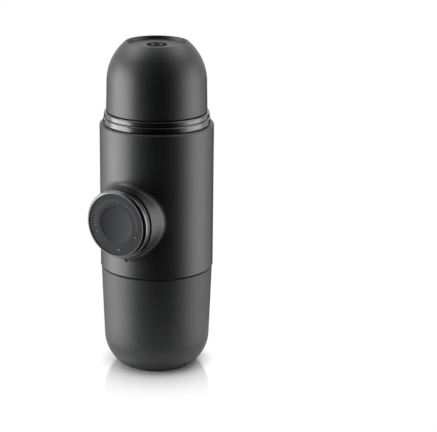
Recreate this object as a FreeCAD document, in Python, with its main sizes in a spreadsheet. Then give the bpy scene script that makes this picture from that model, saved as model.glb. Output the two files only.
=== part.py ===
"""Handheld manual espresso maker: water tank, pump body with a bayonet piston knob, outlet head and cup.

Millimetres. The origin is the centre of the flat base, +Z runs up the axis of the body, and the piston knob
faces -Y. Every piece is an object of the document, bound to the Sizes sheet, and goes to parts/LABEL.step.

The pieces are drawn in the frame of the level that they stand on, and placed there:
  tank    z = 0 is the base
  body    z = 0 is the underside of the main housing
  brew    z = 0 is the floor of the brew chamber
  outlet  z = 0 is the top of the main housing
  cup     z = 0 is the rim of the cup
  pump    z is the distance from the axis of the body towards the knob, along the axis of the piston
"""
import FreeCAD, Part
import math
import os
import re
from collections import namedtuple

import Sketcher

SIZES = (
    # Water tank
    ("body_radius", 29.9, "outside, at the seam between the tank and the housing"),
    ("tank_height", 54.3, "base to rim"),
    ("tank_base_radius", 19.5, "flat face that it stands on"),
    ("tank_heel_radius", 19.9, "round of the heel"),
    ("tank_set_in", 0.4, "foot of the housing to the tank's rim"),
    ("tank_foot_round", 0.8, "edge of the base"),
    ("tank_floor", 3.0, "thickness of the floor"),
    ("tank_floor_set_in", 2.3, "flat floor inside, from the edge of the base"),
    ("tank_taper", 1.44, "rim to the top of the heel, outside"),
    ("tank_rim_wall", 3.6, "wall at the rim, with the rebate"),
    ("tank_bore_taper", 1.48, "mouth to the top of the heel, inside"),
    ("rim_chamfer", 0.35, "edges that meet at the seam"),
    # Tank seal
    ("seal_seat_width", 1.7, "rebate in the tank's rim"),
    ("seal_seat_depth", 1.3, "rebate in the tank's rim"),
    ("seal_gap", 0.3, "loose fit round a flat seal"),
    # Main housing
    ("seam_gap", 0.6, "open seam between the tank and the housing"),
    ("housing_height", 77.2, "underside to top"),
    ("housing_flare", 0.1, "gained from the seam to the top"),
    ("housing_edge_radius", 1.0, "round of the top edge"),
    ("housing_wall", 2.3, "wall at the seam"),
    ("housing_lip", 2.7, "thickness of the lip at the top"),
    ("lip_reach", 1.8, "lip inside the bore"),
    # Boss for the knob
    ("pump_rise", 31.2, "underside of the housing to the axis of the piston"),
    ("boss_proud", 4.7, "end of the boss outside the housing's foot"),
    ("boss_step", 0.55, "end of the boss outside the knob"),
    ("boss_draft", 2.0, "degrees"),
    ("boss_blend", 4.0, "round where the boss leaves the housing"),
    ("boss_wall", 1.25, "wall at the end of the boss"),
    # Base plate of the body
    ("plate_thickness", 2.2, "plate that closes the housing"),
    ("plate_fit", 0.2, "between the plate and the housing"),
    ("plate_ledge", 0.6, "step in the housing for the plate"),
    ("spigot_length", 9.9, "threaded spigot below the plate"),
    ("thread_gap", 0.4, "between a threaded spigot and its bore"),
    ("spigot_wall", 2.3, "wall of the spigot"),
    ("spigot_chamfer", 0.6, "lead-in"),
    # Brew chamber, the upper part of the pump block
    ("chamber_gap", 0.2, "bore of the boss to the underside of the chamber"),
    ("chamber_fit", 0.3, "between the chamber and the housing"),
    ("chamber_wall", 1.6, "wall"),
    ("chamber_floor", 3.0, "thickness of the floor"),
    ("chamber_sink_depth", 0.8, "shallow recess under the shower plate"),
    # Pump barrel, sleeve and guide
    ("barrel_radius", 8.6, "outside"),
    ("barrel_set_back", 10.6, "end of the boss to the end of the barrel"),
    ("barrel_back", 17.0, "closed end of the barrel, behind the axis"),
    ("sleeve_back", 9.0, "step that the sleeve seats on, behind the axis"),
    ("dead_end_depth", 4.0, "pump chamber beyond the sleeve"),
    ("dead_end_radius", 6.2, "pump chamber beyond the sleeve"),
    ("piston_bore_radius", 6.0, "bore of the sleeve"),
    ("sleeve_wall", 1.0, "wall of the sleeve"),
    ("press_fit", 0.03, "between a pressed piece and its bore"),
    ("spring_flange_radius", 12.2, "flange round the barrel"),
    ("spring_flange_start", 0.5, "flange round the barrel"),
    ("spring_flange_width", 2.0, "flange round the barrel"),
    ("guide_depth", 1.5, "guide inside the sleeve"),
    ("guide_head", 2.2, "guide beyond the barrel"),
    ("running_fit", 0.08, "between a sliding or turning piece and its bore"),
    # Posts and screws that hold the base plate to the pump block
    ("post_set_in", 4.7, "inside of the spigot to the circle of the posts"),
    ("post_radius", 3.6, "outside of a post"),
    ("screw_radius", 1.45, "shank"),
    ("screw_length", 10.0, "hole in the post"),
    ("screw_end_gap", 1.0, "end of the shank to the end of its hole"),
    ("screw_head_radius", 2.8, "head"),
    ("screw_head_height", 2.0, "head"),
    ("screw_clearance", 0.25, "round the shank in the plate"),
    # Valves and the inlet tube
    ("valve_offset", 11.0, "valve channel, behind the axis"),
    ("valve_column_radius", 6.5, "column that holds the valves"),
    ("port_radius", 1.5, "channel, and the seat of each ball"),
    ("ball_radius", 2.0, "valve balls"),
    ("ball_cage_radius", 2.6, "bore round each ball"),
    ("ball_cage_height", 5.1, "bore round the inlet ball"),
    ("ball_seat_gap", 0.02, "ball to the edge of its seat"),
    ("outlet_seat_rise", 10.9, "axis of the piston to the outlet ball's seat"),
    ("retainer_radius", 4.5, "plug over the outlet valve"),
    ("retainer_thickness", 2.0, "plug over the outlet valve"),
    ("retainer_slot", 1.2, "width of the slot for water and the driver"),
    ("valve_wire_radius", 0.2, "wire of the outlet valve's spring"),
    ("valve_coil_radius", 1.5, "coil of the outlet valve's spring"),
    ("valve_spring_turns", 3, "coil of the outlet valve's spring"),
    ("tube_radius", 2.4, "outside of the inlet tube"),
    ("tube_bore_radius", 1.5, "inside of the inlet tube"),
    ("tube_socket_depth", 1.3, "tube inside the base plate"),
    ("tube_floor_gap", 2.0, "end of the tube to the tank's floor"),
    ("vent_offset", 12.0, "vent valve, in front of the axis"),
    ("vent_stem_radius", 1.0, "stem of the vent valve"),
    ("vent_cap_radius", 3.4, "flap of the vent valve"),
    ("vent_cap_thickness", 0.8, "flap of the vent valve"),
    ("vent_barb_radius", 1.6, "barb of the vent valve"),
    ("vent_barb_height", 1.6, "barb of the vent valve"),
    # Bayonet ring
    ("ring_seat", 1.5, "bore of the boss to the bore of the ring"),
    ("ring_set_in", 0.2, "ring inside the knob's radius"),
    ("ring_thickness", 0.5, "flange outside the boss"),
    ("ring_spigot", 1.5, "part inside the boss"),
    # Knob
    ("knob_gap", 0.4, "ring to the back of the knob"),
    ("knob_radius", 18.0, "outside"),
    ("knob_side", 2.9, "straight side"),
    ("bezel_round", 1.2, "round of the outer edge"),
    ("bezel_shoulder", 0.96, "height of that round"),
    ("bezel_inset", 0.7, "side of the knob to the bezel's slope"),
    ("bezel_drop", 0.65, "outer edge of the bezel's slope, below the face"),
    ("bezel_slope", 0.6, "across the bezel's slope"),
    ("bezel_flat", 0.3, "flat inside the slope"),
    ("face_recess", 0.45, "face disc below the bezel"),
    ("face_thickness", 1.4, "face disc, at its edge"),
    ("face_dish_radius", 9.6, "dish in the face disc, at the middle of its lip"),
    ("face_dish_lip", 1.6, "across the rounded lip of the dish"),
    ("face_dish_step", 0.25, "drop of the lip"),
    ("face_dish_depth", 0.9, "dish in the face disc"),
    ("face_ledge", 1.2, "ledge that the face disc rests on"),
    ("face_fit", 0.1, "round the face disc"),
    ("knob_web", 2.2, "plate across the knob"),
    ("web_recess", 1.15, "space between the plate and the face disc"),
    ("skirt_wall", 1.7, "wall of the skirt"),
    ("skirt_gap", 0.3, "between the skirt and the ring"),
    ("lug_clearance", 0.7, "lug to the bore of the boss"),
    ("lug_width", 7.0, "across a lug"),
    ("lug_depth", 2.6, "along the axis"),
    ("lug_gap", 0.3, "lug to the ring, along the axis"),
    ("notch_gap", 0.4, "on each side of a lug in its notch"),
    ("stroke", 20.0, "travel of the piston"),
    # Piston
    ("head_radius", 5.9, "piston head"),
    ("head_length", 7.0, "piston head"),
    ("head_gap", 0.3, "piston head to the sleeve's end at rest"),
    ("head_chamfer", 0.3, "piston head"),
    ("seal_groove_start", 2.5, "groove for the piston seal"),
    ("seal_groove_width", 2.0, "groove for the piston seal"),
    ("seal_groove_depth", 1.0, "groove for the piston seal"),
    ("rod_radius", 3.0, "piston rod"),
    ("rod_tenon_radius", 2.5, "end of the rod inside the knob"),
    ("knob_screw_radius", 1.25, "shank"),
    ("knob_screw_length", 9.0, "shank"),
    ("knob_screw_head_radius", 3.8, "head"),
    ("knob_screw_head_height", 0.9, "head"),
    ("spring_wire_radius", 0.7, "return spring"),
    ("spring_coil_radius", 10.5, "return spring"),
    ("spring_turns", 6, "return spring"),
    ("spring_seat_gap", 0.1, "between a spring and what it pushes on"),
    # Shower plate, gasket and filter basket
    ("shower_set_in", 4.2, "bore of the chamber to the shower plate"),
    ("shower_seat", 1.5, "rim that the shower plate rests on"),
    ("shower_thickness", 0.8, "shower plate"),
    ("gasket_gap", 0.3, "between the gasket and what it lies in"),
    ("gasket_thickness", 1.6, "brew gasket"),
    ("basket_rim", 1.4, "thickness of the basket's rim"),
    ("basket_fit", 0.5, "between the basket's rim and the chamber"),
    ("basket_gap", 0.6, "between the basket and the collar"),
    ("basket_wall", 1.4, "wall of the basket"),
    ("basket_set_down", 7.1, "top of the housing to the screen's outer face"),
    ("screen_thickness", 0.8, "screen of the basket"),
    ("screen_ledge", 0.8, "ledge that the screen rests on"),
    ("screen_fit", 0.05, "round the screen"),
    ("hole_radius", 0.6, "holes of the screen and the shower plate"),
    ("hole_ring_step", 5.4, "between rings of holes"),
    # Outlet head
    ("outlet_seal_set_in", 0.2, "root of the beads to the flat seal under them"),
    ("outlet_seal_thickness", 1.2, "flat seal under the collar"),
    ("collar_gap", 0.1, "housing to the collar"),
    ("collar_height", 6.3, "top of the housing to the top of the collar"),
    ("collar_set_in", 2.8, "top of the housing to the root of the beads"),
    ("lower_bead_height", 3.3, "lower bead"),
    ("lower_bead_proud", 0.9, "lower bead's face outside its root"),
    ("upper_bead_proud", 0.45, "upper bead's face outside the root"),
    ("bead_round", 0.8, "top edge of a bead"),
    ("bead_foot_round", 0.35, "bottom edge of a bead"),
    ("bead_groove", 0.2, "groove between the beads"),
    ("collar_wall", 3.1, "wall of the threaded skirt"),
    ("ledge_reach", 2.4, "ledge under the dome, inside the skirt"),
    ("ledge_thickness", 1.6, "ledge under the dome"),
    ("ledge_gap", 0.8, "screen to the ledge"),
    ("cup_fit", 0.65, "between the cup and its spigot"),
    ("cup_spigot_wall", 2.2, "wall of the spigot"),
    ("cup_spigot_height", 7.6, "top of the collar to the top of the spigot"),
    ("cup_spigot_chamfer", 0.5, "lead-in"),
    ("cup_seal_groove_start", 2.8, "groove for the cup's O-ring"),
    ("cup_seal_groove_width", 2.0, "groove for the cup's O-ring"),
    ("cup_seal_groove_depth", 0.9, "groove for the cup's O-ring"),
    ("cup_seal_wire_radius", 0.65, "cup's O-ring"),
    ("dome_fit", 0.1, "round the dome's flange"),
    ("dome_flange", 1.6, "thickness of the dome's flange"),
    ("dome_flange_width", 3.0, "flange round the dome"),
    ("dome_height", 10.2, "flange to the foot of the spout"),
    ("dome_wall", 1.7, "wall of the dome, straight up"),
    ("spout_foot_radius", 4.6, "top of the dome"),
    ("spout_radius", 3.4, "spout"),
    ("spout_bore_radius", 1.6, "spout"),
    ("spout_length", 11.0, "top of the dome to the end of the spout"),
    ("nozzle_overlap", 6.0, "nozzle over the spout"),
    ("nozzle_tip", 3.0, "nozzle beyond the spout"),
    ("nozzle_radius", 4.8, "nozzle, at its foot"),
    ("nozzle_tip_radius", 3.7, "nozzle, at its tip"),
    ("nozzle_collar", 2.0, "straight part at the nozzle's foot"),
    # Cup
    ("cup_gap", 0.3, "collar to the rim of the cup"),
    ("cup_height", 36.3, "rim to crest"),
    ("cup_set_in", 0.7, "root of the beads to the rim of the cup"),
    ("cup_rim_chamfer", 0.3, "outside edge of the rim"),
    ("cup_wall", 2.05, "wall"),
    ("cup_taper", 0.34, "rim to the foot of the shoulder"),
    ("cup_shoulder_radius", 27.3, "round of the shoulder"),
    ("cup_crest_set_in", 10.1, "rim to the outer edge of the crest"),
    ("cup_crest_width", 0.9, "flat of the crest before it is rounded"),
    ("cup_crest_round", 0.4, "round of the crest's edges"),
    ("cup_recess_draft", 0.6, "slope of the recess's side"),
    ("cup_recess_depth", 1.7, "recess in the crown"),
    ("cup_crown", 2.2, "thickness of the crown under the recess"),
    ("cup_floor_spread", 1.2, "flat of the crown inside, beyond the crest"),
    # Every cut
    ("cut_margin", 1.0, "how far a cut runs past the solid"),
)
"""The driving dimensions, each with the name of its cell and a note."""

WORKED_OUT = (
    # Water tank
    ("tank_rim_radius", "body_radius - tank_set_in", "outside, at the rim"),
    ("tank_mouth_radius", "tank_rim_radius - tank_rim_wall", "bore that takes the spigot"),
    ("tank_floor_radius", "tank_base_radius - tank_floor_set_in", "flat floor inside"),
    ("seal_seat_radius", "tank_mouth_radius + seal_seat_width", "rebate in the tank's rim"),
    # Heights of the frames above the base
    ("body_level", "tank_height + seam_gap", "underside of the housing"),
    ("pump_level", "body_level + pump_rise", "axis of the piston"),
    ("outlet_level", "body_level + housing_height", "top of the housing"),
    ("cup_level", "outlet_level + collar_height + cup_gap", "rim of the cup"),
    ("brew_level", "body_level + chamber_floor_top", "floor of the brew chamber"),
    # Main housing and its boss
    ("housing_top_radius", "body_radius + housing_flare", "outside, at the top"),
    ("housing_bore_radius", "body_radius - housing_wall", "inside"),
    ("housing_lip_radius", "housing_bore_radius - lip_reach", "opening in the lip"),
    ("plate_recess_radius", "housing_bore_radius + plate_ledge", "step in the housing for the plate"),
    ("boss_reach", "body_radius + boss_proud", "axis of the body to the end of the boss"),
    ("boss_radius", "knob_radius + boss_step", "outside, at the end of the boss"),
    ("boss_bore_radius", "boss_radius - boss_wall", "bore that takes the bayonet ring"),
    # Base plate
    ("spigot_radius", "tank_mouth_radius - thread_gap", "outside of the spigot"),
    ("post_circle_radius", "spigot_radius - spigot_wall - post_set_in", "circle of the posts"),
    # Brew chamber and what lies in it
    ("chamber_radius", "housing_bore_radius - chamber_fit", "outside"),
    ("chamber_bore_radius", "chamber_radius - chamber_wall", "bore that takes the outlet head"),
    ("chamber_underside", "pump_rise + boss_bore_radius + chamber_gap", "above the underside of the housing"),
    ("chamber_floor_top", "chamber_underside + chamber_floor", "above the underside of the housing"),
    ("chamber_sink_floor", "chamber_floor_top - chamber_sink_depth", "above the underside of the housing"),
    ("chamber_top", "housing_height - housing_lip", "above the underside of the housing"),
    ("shower_radius", "chamber_bore_radius - shower_set_in", "shower plate"),
    ("chamber_sink_radius", "shower_radius - shower_seat", "shallow recess under the shower plate"),
    ("basket_rim_radius", "chamber_bore_radius - basket_fit", "outside of the basket's rim"),
    ("basket_bore_radius", "collar_bore_radius - basket_gap - basket_wall", "inside of the basket"),
    ("basket_height", "housing_height - chamber_floor_top - gasket_thickness - basket_set_down",
     "rim to the screen's outer face"),
    ("rim_top", "gasket_thickness + basket_rim",
     "top of the basket's rim, above the floor of the brew chamber"),
    # Pump, valves and piston
    ("barrel_front", "boss_reach - barrel_set_back", "end of the barrel nearest the knob"),
    ("outlet_seat", "pump_rise + outlet_seat_rise",
     "seat of the outlet ball, above the underside of the housing"),
    ("ball_sink", "sqrt(ball_radius ^ 2 - port_radius ^ 2)", "centre of a ball above the edge of its seat"),
    ("head_front", "head_gap - sleeve_back", "closed end of the piston head, along the pump"),
    # Bayonet ring and knob
    ("ring_bore_radius", "boss_bore_radius - ring_seat", "opening that the knob's skirt slides through"),
    ("ring_radius", "knob_radius - ring_set_in", "outside"),
    ("ring_front", "boss_reach + ring_thickness", "outer face of the ring, along the pump"),
    ("knob_skirt_radius", "ring_bore_radius - skirt_gap", "outside of the knob's skirt"),
    ("knob_back", "ring_front + knob_gap", "back of the knob, along the pump"),
    ("knob_front", "knob_back + knob_side + bezel_shoulder + bezel_drop",
     "flat of the bezel, along the pump"),
    ("face_front", "knob_front - face_recess", "front of the face disc, along the pump"),
    ("face_back", "face_front - face_thickness", "back of the face disc, along the pump"),
    ("web_front", "face_back - web_recess", "outer face of the web, along the pump"),
    ("web_back", "web_front - knob_web", "inner face of the web, along the pump"),
    ("bezel_radius", "knob_radius - bezel_inset", "outer edge of the bezel's slope"),
    ("face_edge_radius", "bezel_radius - bezel_slope - bezel_flat", "opening in the bezel"),
    ("lug_radius", "boss_bore_radius - lug_clearance", "outer face of a lug"),
    ("lug_front", "boss_reach - ring_spigot - lug_gap", "outer face of the lock lugs, along the pump"),
    ("skirt_end", "lug_front - stroke - lug_depth", "inner end of the skirt, along the pump"),
    # Outlet head
    ("collar_seat_radius", "housing_top_radius - collar_set_in", "root of the beads"),
    ("lower_bead_radius", "collar_seat_radius + lower_bead_proud", "face of the lower bead"),
    ("upper_bead_radius", "collar_seat_radius + upper_bead_proud", "face of the upper bead"),
    ("skirt_radius", "chamber_bore_radius - thread_gap", "threaded skirt"),
    ("collar_bore_radius", "skirt_radius - collar_wall", "skirt, inside"),
    ("ledge_radius", "collar_bore_radius - ledge_reach", "opening in the ledge under the dome"),
    ("outlet_seal_inner_radius", "skirt_radius + seal_gap", "flat seal under the collar"),
    ("outlet_seal_outer_radius", "collar_seat_radius - outlet_seal_set_in", "flat seal under the collar"),
    ("skirt_foot", "chamber_floor_top + rim_top - housing_height", "below the top of the housing"),
    ("basket_top", "0 - basket_set_down", "below the top of the housing"),
    ("ledge_top", "basket_top + ledge_gap + ledge_thickness", "below the top of the housing"),
    ("cup_spigot_radius", "cup_rim_radius - cup_wall - cup_fit", "spigot that the cup slides over"),
    ("cup_spigot_bore", "cup_spigot_radius - cup_spigot_wall", "inside of the spigot"),
    ("dome_root_radius", "cup_spigot_bore - dome_fit - dome_flange_width", "dome, above its flange"),
    ("dome_top", "ledge_top + dome_flange + dome_height", "above the top of the housing"),
    ("spout_top", "dome_top + spout_length", "above the top of the housing"),
    # Cup
    ("cup_rim_radius", "collar_seat_radius - cup_set_in", "outside, at the rim"),
    ("cup_crest_radius", "cup_rim_radius - cup_crest_set_in", "outer edge of the crest"),
    ("cup_recess_radius", "cup_crest_radius - cup_crest_width - cup_recess_draft",
     "floor of the recess in the crown"),
    ("cup_floor_radius", "cup_crest_radius + cup_floor_spread", "flat of the crown inside"),
)
"""Sizes and places that several pieces share, each as a formula of the driving dimensions."""

FORMULAS = {name: formula for name, formula, _ in WORKED_OUT}
ALIASES = {name for name, _, _ in SIZES}

POST_ANGLE = 30
POST_SPREAD = 120
POST_COUNT = 3
LUG_PAIR = 2
HOLE_RINGS = 3
HOLES_PER_RING = 6
SLACK = 0.01
"""How far off an edge may lie, in millimetres, and still count as flat or as level."""

Corner = namedtuple("Corner", "across up radius turn smooth", defaults=(None, None, False))
"""A corner of an outline. A radius makes the run that reaches it an arc, whose centre lies to the left or
right. The sketch itself finds the height of a smooth corner, so that the two runs meet without a kink there."""

document = FreeCAD.newDocument("espresso_maker")
sheet = document.addObject("Spreadsheet::Sheet", "Sizes")
pieces = []


def fill_sheet():
    """Write each driving dimension into a cell of its own, with its alias and its note."""
    for row, (name, size, note) in enumerate(SIZES, start=1):
        sheet.set(f"A{row}", str(size))
        sheet.setAlias(f"A{row}", name)
        sheet.set(f"B{row}", note)
    document.recompute()


def sized(text):
    """Return an expression with its formulas written out and the sheet's name before each of its aliases."""
    def written_out(word):
        if word[0] in FORMULAS:
            return f"({sized(FORMULAS[word[0]])})"
        return f"Sizes.{word[0]}" if word[0] in ALIASES else word[0]

    return re.sub(r"[a-z_]+", written_out, text)


def value(text):
    """Return what an expression of the sheet comes to now."""
    return float(sheet.evalExpression(sized(text)))


def new_body(label, level="0", along_pump=False):
    """Start a piece that stands at a level, or that lies along the axis of the piston."""
    body = document.addObject("PartDesign::Body", label)
    body.Label = label
    settle(body, level, along_pump)
    return body


def settle(piece, level, along_pump=False):
    """Place a piece at its level, turn it along the pump if it lies there, and note it for export."""
    turn = FreeCAD.Rotation(FreeCAD.Vector(1, 0, 0), 90 if along_pump else 0)
    piece.Placement = FreeCAD.Placement(FreeCAD.Vector(0, 0, value(level)), turn)
    piece.setExpression(".Placement.Base.z", sized(level))
    pieces.append(piece)


def shift_back(piece, distance):
    """Move a placed piece away from the knob by a distance."""
    piece.Placement.Base.y = value(distance)
    piece.setExpression(".Placement.Base.y", sized(distance))


def sketch_on(body, plane, height="0"):
    """Return a new sketch on one of the body's own planes, moved along the plane's normal to a height."""
    sketch = body.newObject("Sketcher::SketchObject", f"{body.Name}_sketch")
    support = next(feature for feature in body.Origin.OriginFeatures if feature.Role == plane)
    sketch.AttachmentSupport = [(support, "")]
    sketch.MapMode = "FlatFace"
    if height != "0":
        sketch.AttachmentOffset = FreeCAD.Placement(FreeCAD.Vector(0, 0, value(height)), FreeCAD.Rotation())
        sketch.setExpression(".AttachmentOffset.Base.z", sized(height))
    return sketch


def constrain(sketch, kind, places, text):
    """Add a dimension to a sketch and bind it to its expression."""
    number = sketch.addConstraint(Sketcher.Constraint(kind, *places, value(text)))
    if text != "0":
        name = f"{kind}_{number}"
        sketch.renameConstraint(number, name)
        sketch.setExpression(f"Constraints.{name}", sized(text))


def pin(sketch, geometry, point, across, up):
    """Hold a point of a sketch at its distances from the sketch's origin."""
    constrain(sketch, "DistanceX", (-1, 1, geometry, point), across)
    constrain(sketch, "DistanceY", (-1, 1, geometry, point), up)


def arc_between(start, stop, radius, turn):
    """Return the shorter arc from start to stop, with its centre to the left or right of the way there."""
    chord = stop - start
    left = FreeCAD.Vector(-chord.y, chord.x, 0).normalize()
    rise = max(radius ** 2 - (chord.Length / 2) ** 2, 0) ** 0.5
    centre = (start + stop) / 2 + left * (rise if turn == "left" else -rise)
    first, second = (start, stop) if turn == "left" else (stop, start)
    angles = [math.atan2(point.y - centre.y, point.x - centre.x) for point in (first, second)]
    return Part.ArcOfCircle(Part.Circle(centre, FreeCAD.Vector(0, 0, 1), radius), *angles)


def draw_outline(sketch, corners):
    """Draw a closed outline through its corners, with every corner and radius bound to the sheet."""
    places = [FreeCAD.Vector(value(corner.across), value(corner.up), 0) for corner in corners]
    runs = []
    for number, corner in enumerate(corners):
        start, stop = places[number - 1], places[number]
        if corner.radius is None:
            index = sketch.addGeometry(Part.LineSegment(start, stop), False)
            runs.append((index, 1, 2))
            continue
        index = sketch.addGeometry(arc_between(start, stop, value(corner.radius), corner.turn), False)
        runs.append((index, 1, 2) if corner.turn == "left" else (index, 2, 1))
    for number, corner in enumerate(corners):
        index, _, last = runs[number]
        following, first, _ = runs[(number + 1) % len(runs)]
        meeting = "Tangent" if corner.smooth else "Coincident"
        sketch.addConstraint(Sketcher.Constraint(meeting, index, last, following, first))
        if corner.smooth:
            constrain(sketch, "DistanceX", (-1, 1, index, last), corner.across)
        else:
            pin(sketch, index, last, corner.across, corner.up)
        if corner.radius is not None:
            constrain(sketch, "Radius", (index,), corner.radius)


def round_height(wall, edge, radius):
    """Return about how high a round of that radius stands, from its edge to the straight wall it runs into."""
    return f"sqrt(({radius}) ^ 2 - ({radius} - ({wall}) + {edge}) ^ 2)"


def draw_circle(sketch, across, up, radius):
    """Draw a circle that is bound to the sheet."""
    centre = FreeCAD.Vector(value(across), value(up), 0)
    index = sketch.addGeometry(Part.Circle(centre, FreeCAD.Vector(0, 0, 1), value(radius)), False)
    pin(sketch, index, 3, across, up)
    constrain(sketch, "Radius", (index,), radius)


def draw_box(sketch, left, low, right, high):
    """Draw a rectangle that is bound to the sheet."""
    draw_outline(sketch, [Corner(left, low), Corner(right, low), Corner(right, high), Corner(left, high)])


def volume_after(body, feature):
    """Recompute the document, make the feature the body's tip and return the body's volume."""
    document.recompute()
    body.Tip = feature
    document.recompute()
    return body.Shape.Volume


def revolve(body, corners):
    """Turn an outline of (radius, height) corners about the body's own Z axis."""
    sketch = sketch_on(body, "XZ_Plane")
    draw_outline(sketch, corners)
    feature = body.newObject("PartDesign::Revolution", f"{body.Name}_revolution")
    feature.Profile = (sketch, [""])
    feature.ReferenceAxis = (sketch, ["V_Axis"])
    feature.Angle = 360
    volume_after(body, feature)
    return feature


def cut_round(body, corners):
    """Cut a turned outline out of the body, and check that it took something away."""
    before = body.Shape.Volume
    sketch = sketch_on(body, "XZ_Plane")
    draw_outline(sketch, corners)
    feature = body.newObject("PartDesign::Groove", f"{body.Name}_groove")
    feature.Profile = (sketch, [""])
    feature.ReferenceAxis = (sketch, ["V_Axis"])
    feature.Angle = 360
    if volume_after(body, feature) >= before:
        raise RuntimeError(f"{feature.Name} cuts nothing")
    return feature


def pad(body, sketch, length, draft=None):
    """Raise a sketch along its normal, narrowing by the draft if one is given."""
    feature = body.newObject("PartDesign::Pad", f"{body.Name}_pad")
    feature.Profile = (sketch, [""])
    feature.Length = value(length)
    feature.setExpression("Length", sized(length))
    if draft:
        feature.TaperAngle = -value(draft)
        feature.setExpression("TaperAngle", f"-{sized(draft)}")
    volume_after(body, feature)
    return feature


def pocket(body, sketch, length, along_normal=True):
    """Cut a sketch out of the body along or against its normal, and check that it took something away."""
    before = body.Shape.Volume
    feature = body.newObject("PartDesign::Pocket", f"{body.Name}_pocket")
    feature.Profile = (sketch, [""])
    feature.Length = value(length)
    feature.setExpression("Length", sized(length))
    feature.Reversed = along_normal
    if volume_after(body, feature) >= before:
        raise RuntimeError(f"{feature.Name} cuts nothing")
    return feature


def repeat_round(body, feature, count, spread=360):
    """Repeat a feature about the body's own Z axis."""
    pattern = body.newObject("PartDesign::PolarPattern", f"{body.Name}_pattern")
    pattern.Originals = [feature]
    axis = next(item for item in body.Origin.OriginFeatures if item.Role == "Z_Axis")
    pattern.Axis = (axis, [""])
    pattern.Angle = spread
    pattern.Occurrences = count
    volume_after(body, pattern)
    return pattern


def round_edges(body, radius, chosen):
    """Round the edges of the body's tip that the chosen test picks."""
    base = body.Tip
    names = [f"Edge{number}" for number, edge in enumerate(base.Shape.Edges, start=1) if chosen(edge)]
    feature = body.newObject("PartDesign::Fillet", f"{body.Name}_fillet")
    feature.Base = (base, names)
    feature.Radius = value(radius)
    feature.setExpression("Radius", sized(radius))
    volume_after(body, feature)
    return feature


def drill(body, across, up, radius, start, length):
    """Drill a round hole upwards from a height."""
    sketch = sketch_on(body, "XY_Plane", start)
    draw_circle(sketch, across, up, radius)
    return pocket(body, sketch, length)


def on_post_circle(factor):
    """Return the expression of the first post's centre along X or Y."""
    return f"(post_circle_radius * {factor}({POST_ANGLE}))"


def wind(body, start, coil_radius, wire_radius, height, turns):
    """Wind a spring of round wire about the body's own Z axis, from the middle of the wire at its start."""
    sketch = sketch_on(body, "XZ_Plane")
    draw_circle(sketch, coil_radius, start, wire_radius)
    feature = body.newObject("PartDesign::AdditiveHelix", f"{body.Name}_helix")
    feature.Profile = (sketch, [""])
    feature.ReferenceAxis = (sketch, ["V_Axis"])
    feature.Mode = "height-turns-angle"
    feature.Height = value(height)
    feature.setExpression("Height", sized(height))
    feature.Turns = value(turns)
    feature.setExpression("Turns", sized(turns))
    volume_after(body, feature)


def make_water_tank():
    """Tapered tank with a round heel; its mouth takes the spigot and its rim a flat seal."""
    body = new_body("water_tank")
    inner_heel = "(tank_heel_radius - tank_floor)"
    wall = "tank_rim_radius - tank_taper"
    inner_wall = "tank_mouth_radius - tank_bore_taper"
    heel_height = round_height(wall, "tank_base_radius", "tank_heel_radius")
    inner_height = round_height(inner_wall, "tank_floor_radius", inner_heel)
    revolve(body, [
        Corner("0", "0"),
        Corner("tank_base_radius", "0"),
        Corner(wall, heel_height, "tank_heel_radius", "left", True),
        Corner("tank_rim_radius", "tank_height - rim_chamfer"),
        Corner("tank_rim_radius - rim_chamfer", "tank_height"),
        Corner("seal_seat_radius", "tank_height"),
        Corner("seal_seat_radius", "tank_height - seal_seat_depth"),
        Corner("tank_mouth_radius", "tank_height - seal_seat_depth"),
        Corner(inner_wall, f"tank_floor + {inner_height}", smooth=True),
        Corner("tank_floor_radius", "tank_floor", inner_heel, "right"),
        Corner("0", "tank_floor"),
    ])
    round_edges(body, "tank_foot_round", lambda edge: edge.BoundBox.ZMax < SLACK)


def make_flat_seal(label, level, inner, outer, low, high):
    """Flat ring of silicone rubber."""
    body = new_body(label, level)
    revolve(body, [Corner(inner, low), Corner(outer, low), Corner(outer, high), Corner(inner, high)])


def make_main_housing():
    """Outer shell: a long tapered barrel with a flared boss for the knob, open below and lipped above."""
    body = new_body("main_housing", "body_level")
    revolve(body, [
        Corner("0", "0"),
        Corner("body_radius - rim_chamfer", "0"),
        Corner("body_radius", "rim_chamfer"),
        Corner("housing_top_radius", "housing_height - housing_edge_radius"),
        Corner("housing_top_radius - housing_edge_radius", "housing_height", "housing_edge_radius", "left"),
        Corner("0", "housing_height"),
    ])
    boss = sketch_on(body, "XZ_Plane")
    draw_circle(boss, "0", "pump_rise", "boss_radius + boss_reach * tan(boss_draft)")
    pad(body, boss, "boss_reach", "boss_draft")
    width = value("boss_radius")

    def is_saddle(edge):
        box = edge.BoundBox
        return box.YMax < 0 and box.XLength > width and box.YLength > SLACK

    round_edges(body, "boss_blend", is_saddle)
    cut_round(body, [
        Corner("0", "-cut_margin"),
        Corner("plate_recess_radius", "-cut_margin"),
        Corner("plate_recess_radius", "plate_thickness"),
        Corner("housing_bore_radius", "plate_thickness"),
        Corner("housing_bore_radius", "chamber_top"),
        Corner("housing_lip_radius", "chamber_top"),
        Corner("housing_lip_radius", "housing_height + cut_margin"),
        Corner("0", "housing_height + cut_margin"),
    ])
    bore = sketch_on(body, "XZ_Plane")
    draw_circle(bore, "0", "pump_rise", "boss_bore_radius")
    pocket(body, bore, "boss_reach + cut_margin")


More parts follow.
